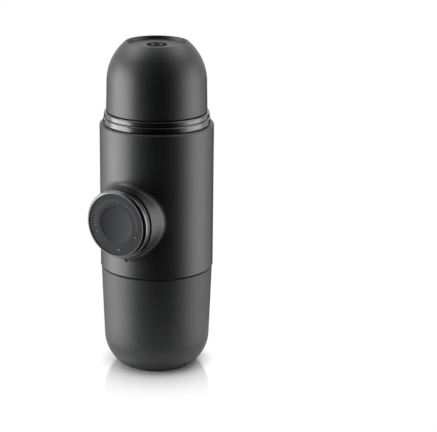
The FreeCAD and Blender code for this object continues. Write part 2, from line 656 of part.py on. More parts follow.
def make_base_plate():
    """Plate that closes the housing, with the spigot for the tank and the holes of the water path."""
    body = new_body("base_plate", "body_level")
    revolve(body, [
        Corner("0", "0"),
        Corner("spigot_radius - spigot_wall", "0"),
        Corner("spigot_radius - spigot_wall", "-spigot_length"),
        Corner("spigot_radius - spigot_chamfer", "-spigot_length"),
        Corner("spigot_radius", "spigot_chamfer - spigot_length"),
        Corner("spigot_radius", "0"),
        Corner("plate_recess_radius - plate_fit", "0"),
        Corner("plate_recess_radius - plate_fit", "plate_thickness"),
        Corner("0", "plate_thickness"),
    ])
    drill(body, "0", "valve_offset", "tube_radius + press_fit", "-cut_margin",
          "tube_socket_depth + cut_margin")
    drill(body, "0", "valve_offset", "port_radius", "0", "plate_thickness + cut_margin")
    drill(body, "0", "-vent_offset", "vent_stem_radius + running_fit", "-cut_margin",
          "plate_thickness + 2 * cut_margin")
    hole = drill(body, on_post_circle("cos"), on_post_circle("sin"), "screw_radius + screw_clearance",
                 "-cut_margin", "plate_thickness + 2 * cut_margin")
    repeat_round(body, hole, POST_COUNT, POST_SPREAD)


def make_pump_block():
    """Core of the pump: brew chamber, transverse barrel, valve column and the posts of the base plate."""
    body = new_body("pump_block", "body_level")
    revolve(body, [
        Corner("0", "chamber_underside"),
        Corner("chamber_radius", "chamber_underside"),
        Corner("chamber_radius", "chamber_top"),
        Corner("chamber_bore_radius", "chamber_top"),
        Corner("chamber_bore_radius", "chamber_floor_top"),
        Corner("chamber_sink_radius", "chamber_floor_top"),
        Corner("chamber_sink_radius", "chamber_sink_floor"),
        Corner("0", "chamber_sink_floor"),
    ])
    column = sketch_on(body, "XY_Plane", "plate_thickness")
    draw_circle(column, "0", "valve_offset", "valve_column_radius")
    pad(body, column, "chamber_underside - plate_thickness + cut_margin")
    barrel = sketch_on(body, "XZ_Plane", "-barrel_back")
    draw_circle(barrel, "0", "pump_rise", "barrel_radius")
    pad(body, barrel, "barrel_back + barrel_front")
    flange = sketch_on(body, "XZ_Plane", "spring_flange_start")
    draw_circle(flange, "0", "pump_rise", "spring_flange_radius")
    pad(body, flange, "spring_flange_width")
    post = sketch_on(body, "XY_Plane", "plate_thickness")
    draw_circle(post, on_post_circle("cos"), on_post_circle("sin"), "post_radius")
    post_pad = pad(body, post, "chamber_underside - plate_thickness + cut_margin")
    repeat_round(body, post_pad, POST_COUNT, POST_SPREAD)
    pilot = drill(body, on_post_circle("cos"), on_post_circle("sin"), "screw_radius + press_fit",
                  "plate_thickness", "screw_length")
    repeat_round(body, pilot, POST_COUNT, POST_SPREAD)

    sleeve_bore = sketch_on(body, "XZ_Plane", "barrel_front")
    draw_circle(sleeve_bore, "0", "pump_rise", "piston_bore_radius + sleeve_wall + press_fit")
    pocket(body, sleeve_bore, "barrel_front + sleeve_back", along_normal=False)
    dead_end = sketch_on(body, "XZ_Plane", "-sleeve_back")
    draw_circle(dead_end, "0", "pump_rise", "dead_end_radius")
    pocket(body, dead_end, "dead_end_depth", along_normal=False)

    drill(body, "0", "valve_offset", "port_radius", "plate_thickness", "pump_rise - plate_thickness")
    drill(body, "0", "valve_offset", "ball_cage_radius", "plate_thickness", "ball_cage_height")
    drill(body, "0", "valve_offset", "port_radius", "pump_rise", "outlet_seat_rise")
    drill(body, "0", "valve_offset", "ball_cage_radius", "outlet_seat",
          "chamber_sink_floor - outlet_seat + cut_margin")
    drill(body, "0", "valve_offset", "retainer_radius + press_fit",
          "chamber_sink_floor - retainer_thickness", "retainer_thickness + cut_margin")


def make_cylinder_sleeve():
    """Steel liner that the piston slides in."""
    body = new_body("cylinder_sleeve", "pump_level", along_pump=True)
    revolve(body, [
        Corner("piston_bore_radius", "-sleeve_back"),
        Corner("piston_bore_radius + sleeve_wall", "-sleeve_back"),
        Corner("piston_bore_radius + sleeve_wall", "barrel_front"),
        Corner("piston_bore_radius", "barrel_front"),
    ])


def make_rod_guide():
    """Bush that closes the barrel and guides the piston rod."""
    body = new_body("rod_guide", "pump_level", along_pump=True)
    revolve(body, [
        Corner("rod_radius + running_fit", "barrel_front - guide_depth"),
        Corner("piston_bore_radius - press_fit", "barrel_front - guide_depth"),
        Corner("piston_bore_radius - press_fit", "barrel_front"),
        Corner("barrel_radius", "barrel_front"),
        Corner("barrel_radius", "barrel_front + guide_head"),
        Corner("rod_radius + running_fit", "barrel_front + guide_head"),
    ])


def make_bayonet_ring():
    """Ring on the end of the boss; two notches let the knob's lock lugs through."""
    body = new_body("bayonet_ring", "pump_level", along_pump=True)
    revolve(body, [
        Corner("ring_bore_radius", "boss_reach - ring_spigot"),
        Corner("boss_bore_radius - press_fit", "boss_reach - ring_spigot"),
        Corner("boss_bore_radius - press_fit", "boss_reach"),
        Corner("ring_radius", "boss_reach"),
        Corner("ring_radius", "ring_front - rim_chamfer"),
        Corner("ring_radius - rim_chamfer", "ring_front"),
        Corner("ring_bore_radius", "ring_front"),
    ])
    notch = sketch_on(body, "XY_Plane", "boss_reach - ring_spigot - cut_margin")
    half_width = "(lug_width / 2 + notch_gap)"
    draw_box(notch, "ring_bore_radius - cut_margin", f"-{half_width}", "boss_bore_radius", half_width)
    cut = pocket(body, notch, "ring_spigot + ring_thickness + 2 * cut_margin")
    repeat_round(body, cut, LUG_PAIR)


def make_inlet_tube():
    """Straight tube from the base plate down to the tank's floor."""
    body = new_body("inlet_tube", "body_level")
    shift_back(body, "valve_offset")
    foot = "tank_floor + tube_floor_gap - body_level"
    revolve(body, [
        Corner("tube_bore_radius", foot),
        Corner("tube_radius", foot),
        Corner("tube_radius", "tube_socket_depth"),
        Corner("tube_bore_radius", "tube_socket_depth"),
    ])


def make_valve_ball(label, seat):
    """Steel ball that rests on the edge of its port."""
    ball = document.addObject("Part::Sphere", label)
    ball.Label = label
    ball.Radius = value("ball_radius")
    ball.setExpression("Radius", sized("ball_radius"))
    settle(ball, f"body_level + {seat} + ball_sink + ball_seat_gap")
    shift_back(ball, "valve_offset")


def make_valve_spring():
    """Light spring that holds the outlet ball on its seat."""
    ball_top = "(outlet_seat + ball_sink + ball_seat_gap + ball_radius)"
    start = f"({ball_top} + valve_wire_radius + spring_seat_gap)"
    stop = "(chamber_sink_floor - retainer_thickness - valve_wire_radius - spring_seat_gap)"
    body = new_body("outlet_valve_spring", f"body_level + {start}")
    shift_back(body, "valve_offset")
    wind(body, "0", "valve_coil_radius", "valve_wire_radius", f"{stop} - {start}", "valve_spring_turns")


def make_valve_retainer():
    """Plug over the outlet valve, slotted for the water and for a driver."""
    body = new_body("valve_retainer", "body_level + chamber_sink_floor - retainer_thickness")
    shift_back(body, "valve_offset")
    revolve(body, [
        Corner("0", "0"),
        Corner("retainer_radius", "0"),
        Corner("retainer_radius", "retainer_thickness"),
        Corner("0", "retainer_thickness"),
    ])
    slot = sketch_on(body, "XY_Plane", "-cut_margin")
    draw_box(slot, "-ball_cage_radius", "-retainer_slot / 2", "ball_cage_radius", "retainer_slot / 2")
    pocket(body, slot, "retainer_thickness + 2 * cut_margin")


def make_vent_valve():
    """Rubber umbrella valve that lets air into the tank as water is drawn."""
    body = new_body("vent_valve", "body_level")
    shift_back(body, "-vent_offset")
    revolve(body, [
        Corner("0", "-vent_cap_thickness"),
        Corner("vent_cap_radius - vent_cap_thickness / 2", "-vent_cap_thickness"),
        Corner("vent_cap_radius", "-vent_cap_thickness / 2"),
        Corner("vent_cap_radius", "0"),
        Corner("vent_stem_radius", "0"),
        Corner("vent_stem_radius", "plate_thickness"),
        Corner("vent_barb_radius", "plate_thickness"),
        Corner("vent_stem_radius / 2", "plate_thickness + vent_barb_height"),
        Corner("0", "plate_thickness + vent_barb_height"),
    ])


def make_plate_screws():
    """Three pan-head screws that go up through the base plate into the posts, kept as one group."""
    body = new_body("plate_screws", "body_level")
    body.AllowCompound = True
    sketch = sketch_on(body, "XY_Plane", "-screw_head_height")
    draw_circle(sketch, on_post_circle("cos"), on_post_circle("sin"), "screw_head_radius")
    head = pad(body, sketch, "screw_head_height")
    shank_sketch = sketch_on(body, "XY_Plane", "-screw_head_height / 2")
    draw_circle(shank_sketch, on_post_circle("cos"), on_post_circle("sin"), "screw_radius")
    shank = pad(body, shank_sketch, "screw_head_height / 2 + plate_thickness + screw_length - screw_end_gap")
    pattern = repeat_round(body, head, POST_COUNT, POST_SPREAD)
    pattern.Originals = [head, shank]
    volume_after(body, pattern)


def make_perforated_disc(label, level, radius, low, thickness):
    """Thin steel disc with a centre hole and rings of holes, each with more holes than the one inside it."""
    body = new_body(label, level)
    revolve(body, [
        Corner("0", low),
        Corner(radius, low),
        Corner(radius, f"{low} + {thickness}"),
        Corner("0", f"{low} + {thickness}"),
    ])
    drill(body, "0", "0", "hole_radius", f"{low} - cut_margin", f"{thickness} + 2 * cut_margin")
    for ring in range(1, HOLE_RINGS + 1):
        hole = drill(body, f"hole_ring_step * {ring}", "0", "hole_radius", f"{low} - cut_margin",
                     f"{thickness} + 2 * cut_margin")
        repeat_round(body, hole, HOLES_PER_RING * ring)


def make_filter_basket():
    """Basket for the ground coffee: open towards the shower plate, with a ledge for its screen."""
    body = new_body("filter_basket", "brew_level")
    top = "(gasket_thickness + basket_height)"
    revolve(body, [
        Corner("basket_bore_radius", "gasket_thickness"),
        Corner("basket_rim_radius", "gasket_thickness"),
        Corner("basket_rim_radius", "rim_top"),
        Corner("basket_bore_radius + basket_wall", "rim_top"),
        Corner("basket_bore_radius + basket_wall", top),
        Corner("basket_bore_radius + screen_ledge", top),
        Corner("basket_bore_radius + screen_ledge", f"{top} - screen_thickness"),
        Corner("basket_bore_radius", f"{top} - screen_thickness"),
    ])


def bead(radius, foot, top):
    """Corners of a flat bead round the collar, with its top edge rounder than its foot."""
    return [
        Corner(f"{radius} - bead_foot_round", foot),
        Corner(radius, f"{foot} + bead_foot_round", "bead_foot_round", "left"),
        Corner(radius, f"{top} - bead_round"),
        Corner(f"{radius} - bead_round", top, "bead_round", "left"),
    ]


def make_outlet_collar():
    """Collar of the outlet head: threaded skirt below, two flat beads, and the spigot for the cup above."""
    body = new_body("outlet_collar", "outlet_level")
    lower_top = "(collar_gap + lower_bead_height)"
    upper_foot = f"({lower_top} + bead_groove)"
    groove = "(collar_height + cup_seal_groove_start)"
    groove_top = f"({groove} + cup_seal_groove_width)"
    groove_floor = "(cup_spigot_radius - cup_seal_groove_depth)"
    spigot_top = "(collar_height + cup_spigot_height)"
    revolve(body, [
        Corner("collar_bore_radius", "skirt_foot"),
        Corner("skirt_radius", "skirt_foot"),
        Corner("skirt_radius", "outlet_seal_thickness"),
        Corner("collar_seat_radius", "outlet_seal_thickness"),
        Corner("collar_seat_radius", "collar_gap"),
        *bead("lower_bead_radius", "collar_gap", lower_top),
        Corner("collar_seat_radius - bead_groove", lower_top),
        Corner("collar_seat_radius - bead_groove", upper_foot),
        *bead("upper_bead_radius", upper_foot, "collar_height"),
        Corner("cup_spigot_radius", "collar_height"),
        Corner("cup_spigot_radius", groove),
        Corner(groove_floor, groove),
        Corner(groove_floor, groove_top),
        Corner("cup_spigot_radius", groove_top),
        Corner("cup_spigot_radius", f"{spigot_top} - cup_spigot_chamfer"),
        Corner("cup_spigot_radius - cup_spigot_chamfer", spigot_top),
        Corner("cup_spigot_bore", spigot_top),
        Corner("cup_spigot_bore", "ledge_top"),
        Corner("ledge_radius", "ledge_top"),
        Corner("ledge_radius", "ledge_top - ledge_thickness"),
        Corner("collar_bore_radius", "ledge_top - ledge_thickness"),
    ])


def make_outlet_dome():
    """Dome that gathers the coffee into the spout."""
    body = new_body("outlet_dome", "outlet_level")
    flange_top = "(ledge_top + dome_flange)"
    revolve(body, [
        Corner("dome_root_radius", "ledge_top"),
        Corner("cup_spigot_bore - dome_fit", "ledge_top"),
        Corner("cup_spigot_bore - dome_fit", flange_top),
        Corner("dome_root_radius", flange_top),
        Corner("spout_foot_radius", "dome_top - spout_foot_radius + spout_radius"),
        Corner("spout_radius", "dome_top"),
        Corner("spout_radius", "spout_top"),
        Corner("spout_bore_radius", "spout_top"),
        Corner("spout_bore_radius", "dome_top - dome_wall"),
    ])


def make_spout_nozzle():
    """Tapered nozzle pushed over the end of the spout."""
    body = new_body("spout_nozzle", "outlet_level")
    foot = "(spout_top - nozzle_overlap)"
    revolve(body, [
        Corner("spout_radius + press_fit", foot),
        Corner("nozzle_radius", foot),
        Corner("nozzle_radius", f"{foot} + nozzle_collar"),
        Corner("nozzle_tip_radius", "spout_top + nozzle_tip"),
        Corner("spout_bore_radius", "spout_top + nozzle_tip"),
        Corner("spout_bore_radius", "spout_top"),
        Corner("spout_radius + press_fit", "spout_top"),
    ])


def make_cup_seal():
    """O-ring in the groove of the collar's upper spigot."""
    body = new_body("cup_seal", "outlet_level")
    sketch = sketch_on(body, "XZ_Plane")
    draw_circle(sketch, "cup_spigot_radius - cup_seal_groove_depth + cup_seal_wire_radius + press_fit",
                "collar_height + cup_seal_groove_start + cup_seal_groove_width / 2", "cup_seal_wire_radius")
    feature = body.newObject("PartDesign::Revolution", "cup_seal_revolution")
    feature.Profile = (sketch, [""])
    feature.ReferenceAxis = (sketch, ["V_Axis"])
    feature.Angle = 360
    volume_after(body, feature)


def make_cup():
    """Cup that closes the top, mouth down: a near-straight wall, one long round shoulder and a sunk crown."""
    body = new_body("cup", "cup_level")
    inner_shoulder = "(cup_shoulder_radius - cup_wall)"
    wall = "cup_rim_radius - cup_taper"
    inner_wall = "cup_rim_radius - cup_taper - cup_wall"
    crown_underside = "(cup_height - cup_recess_depth - cup_crown)"
    shoulder_height = round_height(wall, "cup_crest_radius", "cup_shoulder_radius")
    inner_height = round_height(inner_wall, "cup_floor_radius", inner_shoulder)
    revolve(body, [
        Corner("cup_rim_radius - cup_wall", "0"),
        Corner("cup_rim_radius - cup_rim_chamfer", "0"),
        Corner("cup_rim_radius", "cup_rim_chamfer"),
        Corner(wall, f"cup_height - {shoulder_height}", smooth=True),
        Corner("cup_crest_radius", "cup_height", "cup_shoulder_radius", "left"),
        Corner("cup_crest_radius - cup_crest_width", "cup_height"),
        Corner("cup_recess_radius", "cup_height - cup_recess_depth"),
        Corner("0", "cup_height - cup_recess_depth"),
        Corner("0", crown_underside),
        Corner("cup_floor_radius", crown_underside),
        Corner(inner_wall, f"{crown_underside} - {inner_height}", inner_shoulder, "right", True),
    ])
    top = value("cup_height")
    round_edges(body, "cup_crest_round", lambda edge: edge.BoundBox.ZMin > top - SLACK)


def make_piston_rod():
    """Piston: a head with a seal groove on a long rod, stepped down where the knob turns on it."""
    body = new_body("piston_rod", "pump_level", along_pump=True)
    groove = "(head_front + seal_groove_start)"
    groove_end = f"({groove} + seal_groove_width)"
    head_end = "(head_front + head_length)"
    tenon_end = "(web_front + running_fit)"
    revolve(body, [
        Corner("0", "head_front"),
        Corner("head_radius - head_chamfer", "head_front"),
        Corner("head_radius", "head_front + head_chamfer"),
        Corner("head_radius", groove),
        Corner("head_radius - seal_groove_depth", groove),
        Corner("head_radius - seal_groove_depth", groove_end),
        Corner("head_radius", groove_end),
        Corner("head_radius", head_end),
        Corner("rod_radius", f"{head_end} + head_radius - rod_radius"),
        Corner("rod_radius", "web_back"),
        Corner("rod_tenon_radius", "web_back"),
        Corner("rod_tenon_radius", tenon_end),
        Corner("knob_screw_radius + press_fit", tenon_end),
        Corner("knob_screw_radius + press_fit", f"{tenon_end} - knob_screw_length"),
        Corner("0", f"{tenon_end} - knob_screw_length"),
    ])


def make_piston_seal():
    """Square-section seal in the groove of the piston head."""
    body = new_body("piston_seal", "pump_level", along_pump=True)
    start = "(head_front + seal_groove_start + press_fit)"
    stop = "(head_front + seal_groove_start + seal_groove_width - press_fit)"
    inner = "head_radius - seal_groove_depth + press_fit"
    outer = "piston_bore_radius - press_fit"
    revolve(body, [Corner(inner, start), Corner(outer, start), Corner(outer, stop), Corner(inner, stop)])


def make_return_spring():
    """Spring round the barrel, between its flange and the web of the knob."""
    start = "(spring_flange_start + spring_flange_width + spring_wire_radius + spring_seat_gap)"
    stop = "(web_back - spring_wire_radius - spring_seat_gap)"
    body = new_body("return_spring", "pump_level", along_pump=True)
    wind(body, start, "spring_coil_radius", "spring_wire_radius", f"{stop} - {start}", "spring_turns")


def make_knob():
    """Knob: bezel and skirt in one, with a web that turns on the piston rod and two pairs of bayonet lugs."""
    body = new_body("knob", "pump_level", along_pump=True)
    side_top = "(knob_back + knob_side)"
    slope_foot = "(knob_front - bezel_drop)"
    revolve(body, [
        Corner("rod_tenon_radius + running_fit", "web_back"),
        Corner("knob_skirt_radius - skirt_wall", "web_back"),
        Corner("knob_skirt_radius - skirt_wall", "skirt_end"),
        Corner("knob_skirt_radius", "skirt_end"),
        Corner("knob_skirt_radius", "knob_back"),
        Corner("knob_radius", "knob_back"),
        Corner("knob_radius", side_top),
        Corner("bezel_radius", slope_foot, "bezel_round", "left"),
        Corner("bezel_radius - bezel_slope", "knob_front"),
        Corner("face_edge_radius", "knob_front"),
        Corner("face_edge_radius", "face_back"),
        Corner("face_edge_radius - face_ledge", "face_back"),
        Corner("face_edge_radius - face_ledge", "web_front"),
        Corner("rod_tenon_radius + running_fit", "web_front"),
    ])
    root = "(knob_skirt_radius - skirt_wall / 2)"
    lock = sketch_on(body, "XY_Plane", "lug_front - lug_depth")
    draw_box(lock, root, "-lug_width / 2", "lug_radius", "lug_width / 2")
    repeat_round(body, pad(body, lock, "lug_depth"), LUG_PAIR)
    stop = sketch_on(body, "XY_Plane", "skirt_end")
    draw_box(stop, "-lug_width / 2", root, "lug_width / 2", "lug_radius")
    repeat_round(body, pad(body, stop, "lug_depth"), LUG_PAIR)


def level_arc(run, drop):
    """Radius of an arc that is level at one end and falls by a drop over a run."""
    return f"(({run}) ^ 2 + ({drop}) ^ 2) / (2 * ({drop}))"


def make_knob_face():
    """Disc set in the bezel, with a shallow dish in its middle."""
    body = new_body("knob_face", "pump_level", along_pump=True)
    edge = "(face_edge_radius - face_fit)"
    dish_edge = "(face_dish_radius - face_dish_lip / 2)"
    lip_round = level_arc("face_dish_lip", "face_dish_step")
    dish_round = level_arc(dish_edge, "face_dish_depth - face_dish_step")
    revolve(body, [
        Corner("0", "face_back"),
        Corner(edge, "face_back"),
        Corner(edge, "face_front - face_fit"),
        Corner(f"{edge} - face_fit", "face_front"),
        Corner("face_dish_radius + face_dish_lip / 2", "face_front"),
        Corner(dish_edge, "face_front - face_dish_step", lip_round, "left"),
        Corner("0", "face_front - face_dish_depth", dish_round, "right"),
    ])


def make_knob_screw():
    """Screw that holds the knob on the piston rod; its head covers the bore of the web."""
    body = new_body("knob_screw", "pump_level", along_pump=True)
    seat = "(web_front + running_fit)"
    revolve(body, [
        Corner("0", f"{seat} - knob_screw_length + press_fit"),
        Corner("knob_screw_radius", f"{seat} - knob_screw_length + press_fit"),
        Corner("knob_screw_radius", seat),
        Corner("knob_screw_head_radius", seat),
        Corner("knob_screw_head_radius", f"{seat} + knob_screw_head_height"),
        Corner("0", f"{seat} + knob_screw_head_height"),
    ])


def make_all():
    """Make every piece, from the base up."""
    make_water_tank()
    make_flat_seal("tank_seal", "tank_height - seal_seat_depth", "spigot_radius + seal_gap",
                   "seal_seat_radius - seal_gap", "0", "seal_seat_depth + seam_gap")
    make_main_housing()
    make_base_plate()
    make_pump_block()
    make_cylinder_sleeve()
    make_rod_guide()
    make_bayonet_ring()
    make_inlet_tube()
    make_valve_ball("inlet_valve_ball", "plate_thickness")
    make_valve_ball("outlet_valve_ball", "outlet_seat")
    make_valve_spring()
    make_valve_retainer()
    make_vent_valve()
    make_plate_screws()
    make_perforated_disc("shower_plate", "brew_level", "shower_radius", "0", "shower_thickness")
    make_flat_seal("brew_gasket", "brew_level", "shower_radius + gasket_gap",
                   "chamber_bore_radius - gasket_gap", "0", "gasket_thickness")
    make_filter_basket()
    make_perforated_disc("basket_screen", "brew_level", "basket_bore_radius + screen_ledge - screen_fit",
                         "gasket_thickness + basket_height - screen_thickness", "screen_thickness")
    make_flat_seal("outlet_seal", "outlet_level", "outlet_seal_inner_radius", "outlet_seal_outer_radius",
                   "0", "outlet_seal_thickness")
    make_outlet_collar()
    make_outlet_dome()
    make_spout_nozzle()
    make_cup_seal()
    make_cup()
    make_piston_rod()
    make_piston_seal()
    make_return_spring()
    make_knob()
    make_knob_face()
    make_knob_screw()


def check_document():
    """Stop if any object of the document failed, or if a piece has no valid shape."""
    document.recompute()
    failed = [item.Name for item in document.Objects if {"Invalid", "Error"} & set(item.State)]
    if failed:
        raise RuntimeError(f"failed objects: {failed}")
    for piece in pieces:
        if piece.Shape.isNull() or not piece.Shape.isValid():
            raise RuntimeError(f"{piece.Label} has no valid shape")


def export_pieces():
    """Write each piece to its own STEP file."""
    os.makedirs("parts", exist_ok=True)
    for piece in pieces:
        piece.Shape.exportStep(f"parts/{piece.Label}.step")
        box = piece.Shape.BoundBox
        print(f"{piece.Label:22s} solids {len(piece.Shape.Solids)} volume {piece.Shape.Volume:10.1f}"
              f" z {box.ZMin:7.2f} to {box.ZMax:7.2f} y {box.YMin:7.2f} to {box.YMax:7.2f}")


fill_sheet()
make_all()
check_document()
export_pieces()
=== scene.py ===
"""Finishes, fine details, light and camera for a handheld manual espresso maker.

Metres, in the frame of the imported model: the origin is the centre of the base, +Z runs up the axis of the
body and the piston knob faces -Y. The object's sizes are written in millimetres and turned to metres where a
mesh is made. The studio's are in metres.
"""
import logging
import math
from dataclasses import dataclass
from enum import Enum
from typing import Any, Optional, Sequence, Union

import bmesh
import bpy
from bmesh.types import BMEdge, BMesh, BMVert
from bpy.types import Material, Node, NodeSocket, NodeTree, Object
from mathutils import Matrix, Vector
from mathutils.bvhtree import BVHTree


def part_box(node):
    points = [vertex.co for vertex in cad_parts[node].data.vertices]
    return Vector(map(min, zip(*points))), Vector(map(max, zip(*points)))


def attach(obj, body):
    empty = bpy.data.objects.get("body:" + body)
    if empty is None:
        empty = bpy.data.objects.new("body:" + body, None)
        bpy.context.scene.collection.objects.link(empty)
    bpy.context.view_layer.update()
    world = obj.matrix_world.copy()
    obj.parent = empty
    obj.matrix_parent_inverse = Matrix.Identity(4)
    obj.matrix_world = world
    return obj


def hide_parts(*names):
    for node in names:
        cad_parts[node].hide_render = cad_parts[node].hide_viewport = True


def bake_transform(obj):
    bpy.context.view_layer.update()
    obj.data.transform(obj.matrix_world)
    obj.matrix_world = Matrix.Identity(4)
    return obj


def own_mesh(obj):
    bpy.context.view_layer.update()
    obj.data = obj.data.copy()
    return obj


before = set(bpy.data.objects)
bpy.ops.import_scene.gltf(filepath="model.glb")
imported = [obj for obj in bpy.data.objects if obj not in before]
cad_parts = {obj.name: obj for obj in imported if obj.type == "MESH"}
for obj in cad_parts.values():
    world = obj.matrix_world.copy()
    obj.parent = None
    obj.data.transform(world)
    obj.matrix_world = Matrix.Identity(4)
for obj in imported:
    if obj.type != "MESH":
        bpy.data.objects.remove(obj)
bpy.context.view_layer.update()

MM = 0.001
MERGE_DISTANCE = 1e-7
ROUND_STEPS = 96
WHITE = "#ffffff"
Point = tuple[float, float]
log = logging.getLogger("espresso_maker")


# Nodes and colours

def linear(colour: str, share: float = 1.0) -> tuple[float, float, float, float]:
    """Turn an sRGB hex value into linear colour.

    Args:
        colour: six hex digits after a hash sign.
        share: of its light, where 1 is the colour itself.

    Returns:
        Linear red, green and blue, and an alpha of 1.
    """
    parts = [int(colour[place:place + 2], 16) / 255 for place in (1, 3, 5)]
    red, green, blue = (share * (part / 12.92 if part <= 0.04045 else ((part + 0.055) / 1.055) ** 2.4)
                        for part in parts)
    return red, green, blue, 1.0


def add_node(tree: NodeTree, kind: str, settings: Optional[dict[Union[str, int], Any]] = None,
             links: Optional[dict[Union[str, int], NodeSocket]] = None) -> Node:
    """Add a node to a tree, with its settings and links.

    Args:
        tree: tree that the node goes into.
        kind: type of the node, such as ShaderNodeBump.
        settings: property, or name or number of an input, to its value.
        links: name or number of an input to the output that feeds it.

    Returns:
        The new node.
    """
    node = tree.nodes.new(kind)
    for name, value in (settings or {}).items():
        if isinstance(name, str) and hasattr(node, name):
            setattr(node, name, value)
        else:
            node.inputs[name].default_value = value
    for name, output in (links or {}).items():
        tree.links.new(output, node.inputs[name])
    return node


def add_relief(tree: NodeTree, place: NodeSocket, size: float, detail: float,
               depth: float) -> tuple[NodeSocket, NodeSocket]:
    """Add an uneven relief.

    Args:
        tree: tree of a material.
        place: coordinates that it lies on.
        size: of its marks, in millimetres.
        detail: octaves of its noise.
        depth: of its marks, in millimetres.

    Returns:
        Its height, from 0 to 1, and its normal.
    """
    noise = add_node(tree, "ShaderNodeTexNoise", {"Scale": 1 / (size * MM), "Detail": detail},
                     {"Vector": place})
    bump = add_node(tree, "ShaderNodeBump", {"Strength": 1.0, "Distance": depth * MM},
                    {"Height": noise.outputs["Fac"]})
    return noise.outputs["Fac"], bump.outputs["Normal"]


def middle(node: str) -> Vector:
    """Return the middle of a CAD node's box."""
    low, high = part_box(node)
    return (low + high) / 2


# Finishes. Roughness and shares go from 0 to 1, and sizes are in millimetres.

@dataclass(frozen=True)
class Surface:
    """A procedural material. Each kind of surface adds its own shader."""

    name: str
    colour: str

    def make(self) -> Material:
        """Build the material when it is first asked for.

        Returns:
            The material.
        """
        if self.name in bpy.data.materials:
            return bpy.data.materials[self.name]
        material = bpy.data.materials.new(self.name)
        material.use_nodes = True
        tree = material.node_tree
        tree.nodes.clear()
        output = add_node(tree, "ShaderNodeOutputMaterial")
        place = add_node(tree, "ShaderNodeTexCoord")
        tree.links.new(self.shade(tree, place.outputs["Object"]), output.inputs["Surface"])
        return material

    def shade(self, tree: NodeTree, place: NodeSocket) -> NodeSocket:
        """Add the shader, on Object coordinates, and return its output."""
        raise NotImplementedError


@dataclass(frozen=True)
class MouldedPlastic(Surface):
    """Injection-moulded plastic with the spark-eroded grain of its mould.

    The grain spreads the highlights into soft bands, and handling leaves the gloss and the shade slightly
    uneven. The real grain is about 0.1 mm, too fine to show, so it is drawn coarser.
    """

    roughness: float
    ior: float = 1.54
    gloss: float = 0.5
    coat: float = 0.0
    coat_roughness: float = 0.1
    grain: float = 0.45
    grain_depth: float = 0.006
    grain_detail: float = 2.0
    smear: float = 14.0
    smear_detail: float = 3.0
    uneven_gloss: float = 0.04
    uneven_shade: float = 0.1

    def shade(self, tree: NodeTree, place: NodeSocket) -> NodeSocket:
        """Add the plastic, its grain and the marks of handling.

        Args:
            tree: tree of the material.
            place: its Object coordinates.

        Returns:
            The shader's output.
        """
        _, normal = add_relief(tree, place, self.grain, self.grain_detail, self.grain_depth)
        smear = add_node(tree, "ShaderNodeTexNoise", {
            "Scale": 1 / (self.smear * MM), "Detail": self.smear_detail}, {"Vector": place})
        rough = add_node(tree, "ShaderNodeMapRange", {
            "To Min": self.roughness - self.uneven_gloss, "To Max": self.roughness + self.uneven_gloss},
            {"Value": smear.outputs["Fac"]})
        tint = add_node(tree, "ShaderNodeMix", {
            "data_type": "RGBA", 6: linear(self.colour, 1 - self.uneven_shade),
            7: linear(self.colour, 1 + self.uneven_shade)}, {0: smear.outputs["Fac"]})
        shader = add_node(tree, "ShaderNodeBsdfPrincipled", {
            "IOR": self.ior, "Specular IOR Level": self.gloss, "Coat Weight": self.coat,
            "Coat Roughness": self.coat_roughness}, {
            "Base Color": tint.outputs[2], "Roughness": rough.outputs["Result"], "Normal": normal})
        return shader.outputs["BSDF"]


@dataclass(frozen=True)
class TurnedMetal(Surface):
    """Metal that was turned, spun or drawn about an axis.

    Its fine circular tool marks stretch each highlight across them. The real marks are finer than a pixel, so
    they are drawn as coarse as they need to show.
    """

    roughness: float = 0.3
    uneven_gloss: float = 0.06
    tool_mark: float = 0.25
    mark_depth: float = 0.004
    mark_detail: float = 3.0
    along_pump: bool = False

    def shade(self, tree: NodeTree, place: NodeSocket) -> NodeSocket:
        """Add the metal and its tool marks, which run round the body's axis or the pump's.

        Args:
            tree: tree of the material.
            place: its Object coordinates.

        Returns:
            The shader's output.
        """
        centre = (0.0, 0.0, middle("knob_face").z if self.along_pump else 0.0)
        about = add_node(tree, "ShaderNodeVectorMath", {"operation": "SUBTRACT", 1: centre}, {0: place})
        parts = add_node(tree, "ShaderNodeSeparateXYZ", None, {"Vector": about.outputs["Vector"]})
        along, across = ("Y", "Z") if self.along_pump else ("Z", "Y")
        flat = add_node(tree, "ShaderNodeCombineXYZ", None, {
            "X": parts.outputs["X"], "Y": parts.outputs[across]})
        radius = add_node(tree, "ShaderNodeVectorMath", {"operation": "LENGTH"}, {
            "Vector": flat.outputs["Vector"]})
        rings = add_node(tree, "ShaderNodeCombineXYZ", None, {
            "X": radius.outputs["Value"], "Y": parts.outputs[along]})
        marks, normal = add_relief(tree, rings.outputs["Vector"], self.tool_mark, self.mark_detail,
                                   self.mark_depth)
        rough = add_node(tree, "ShaderNodeMapRange", {
            "To Min": self.roughness - self.uneven_gloss, "To Max": self.roughness + self.uneven_gloss},
            {"Value": marks})
        shader = add_node(tree, "ShaderNodeBsdfPrincipled", {
            "Base Color": linear(self.colour), "Metallic": 1.0}, {
            "Roughness": rough.outputs["Result"], "Normal": normal})
        return shader.outputs["BSDF"]


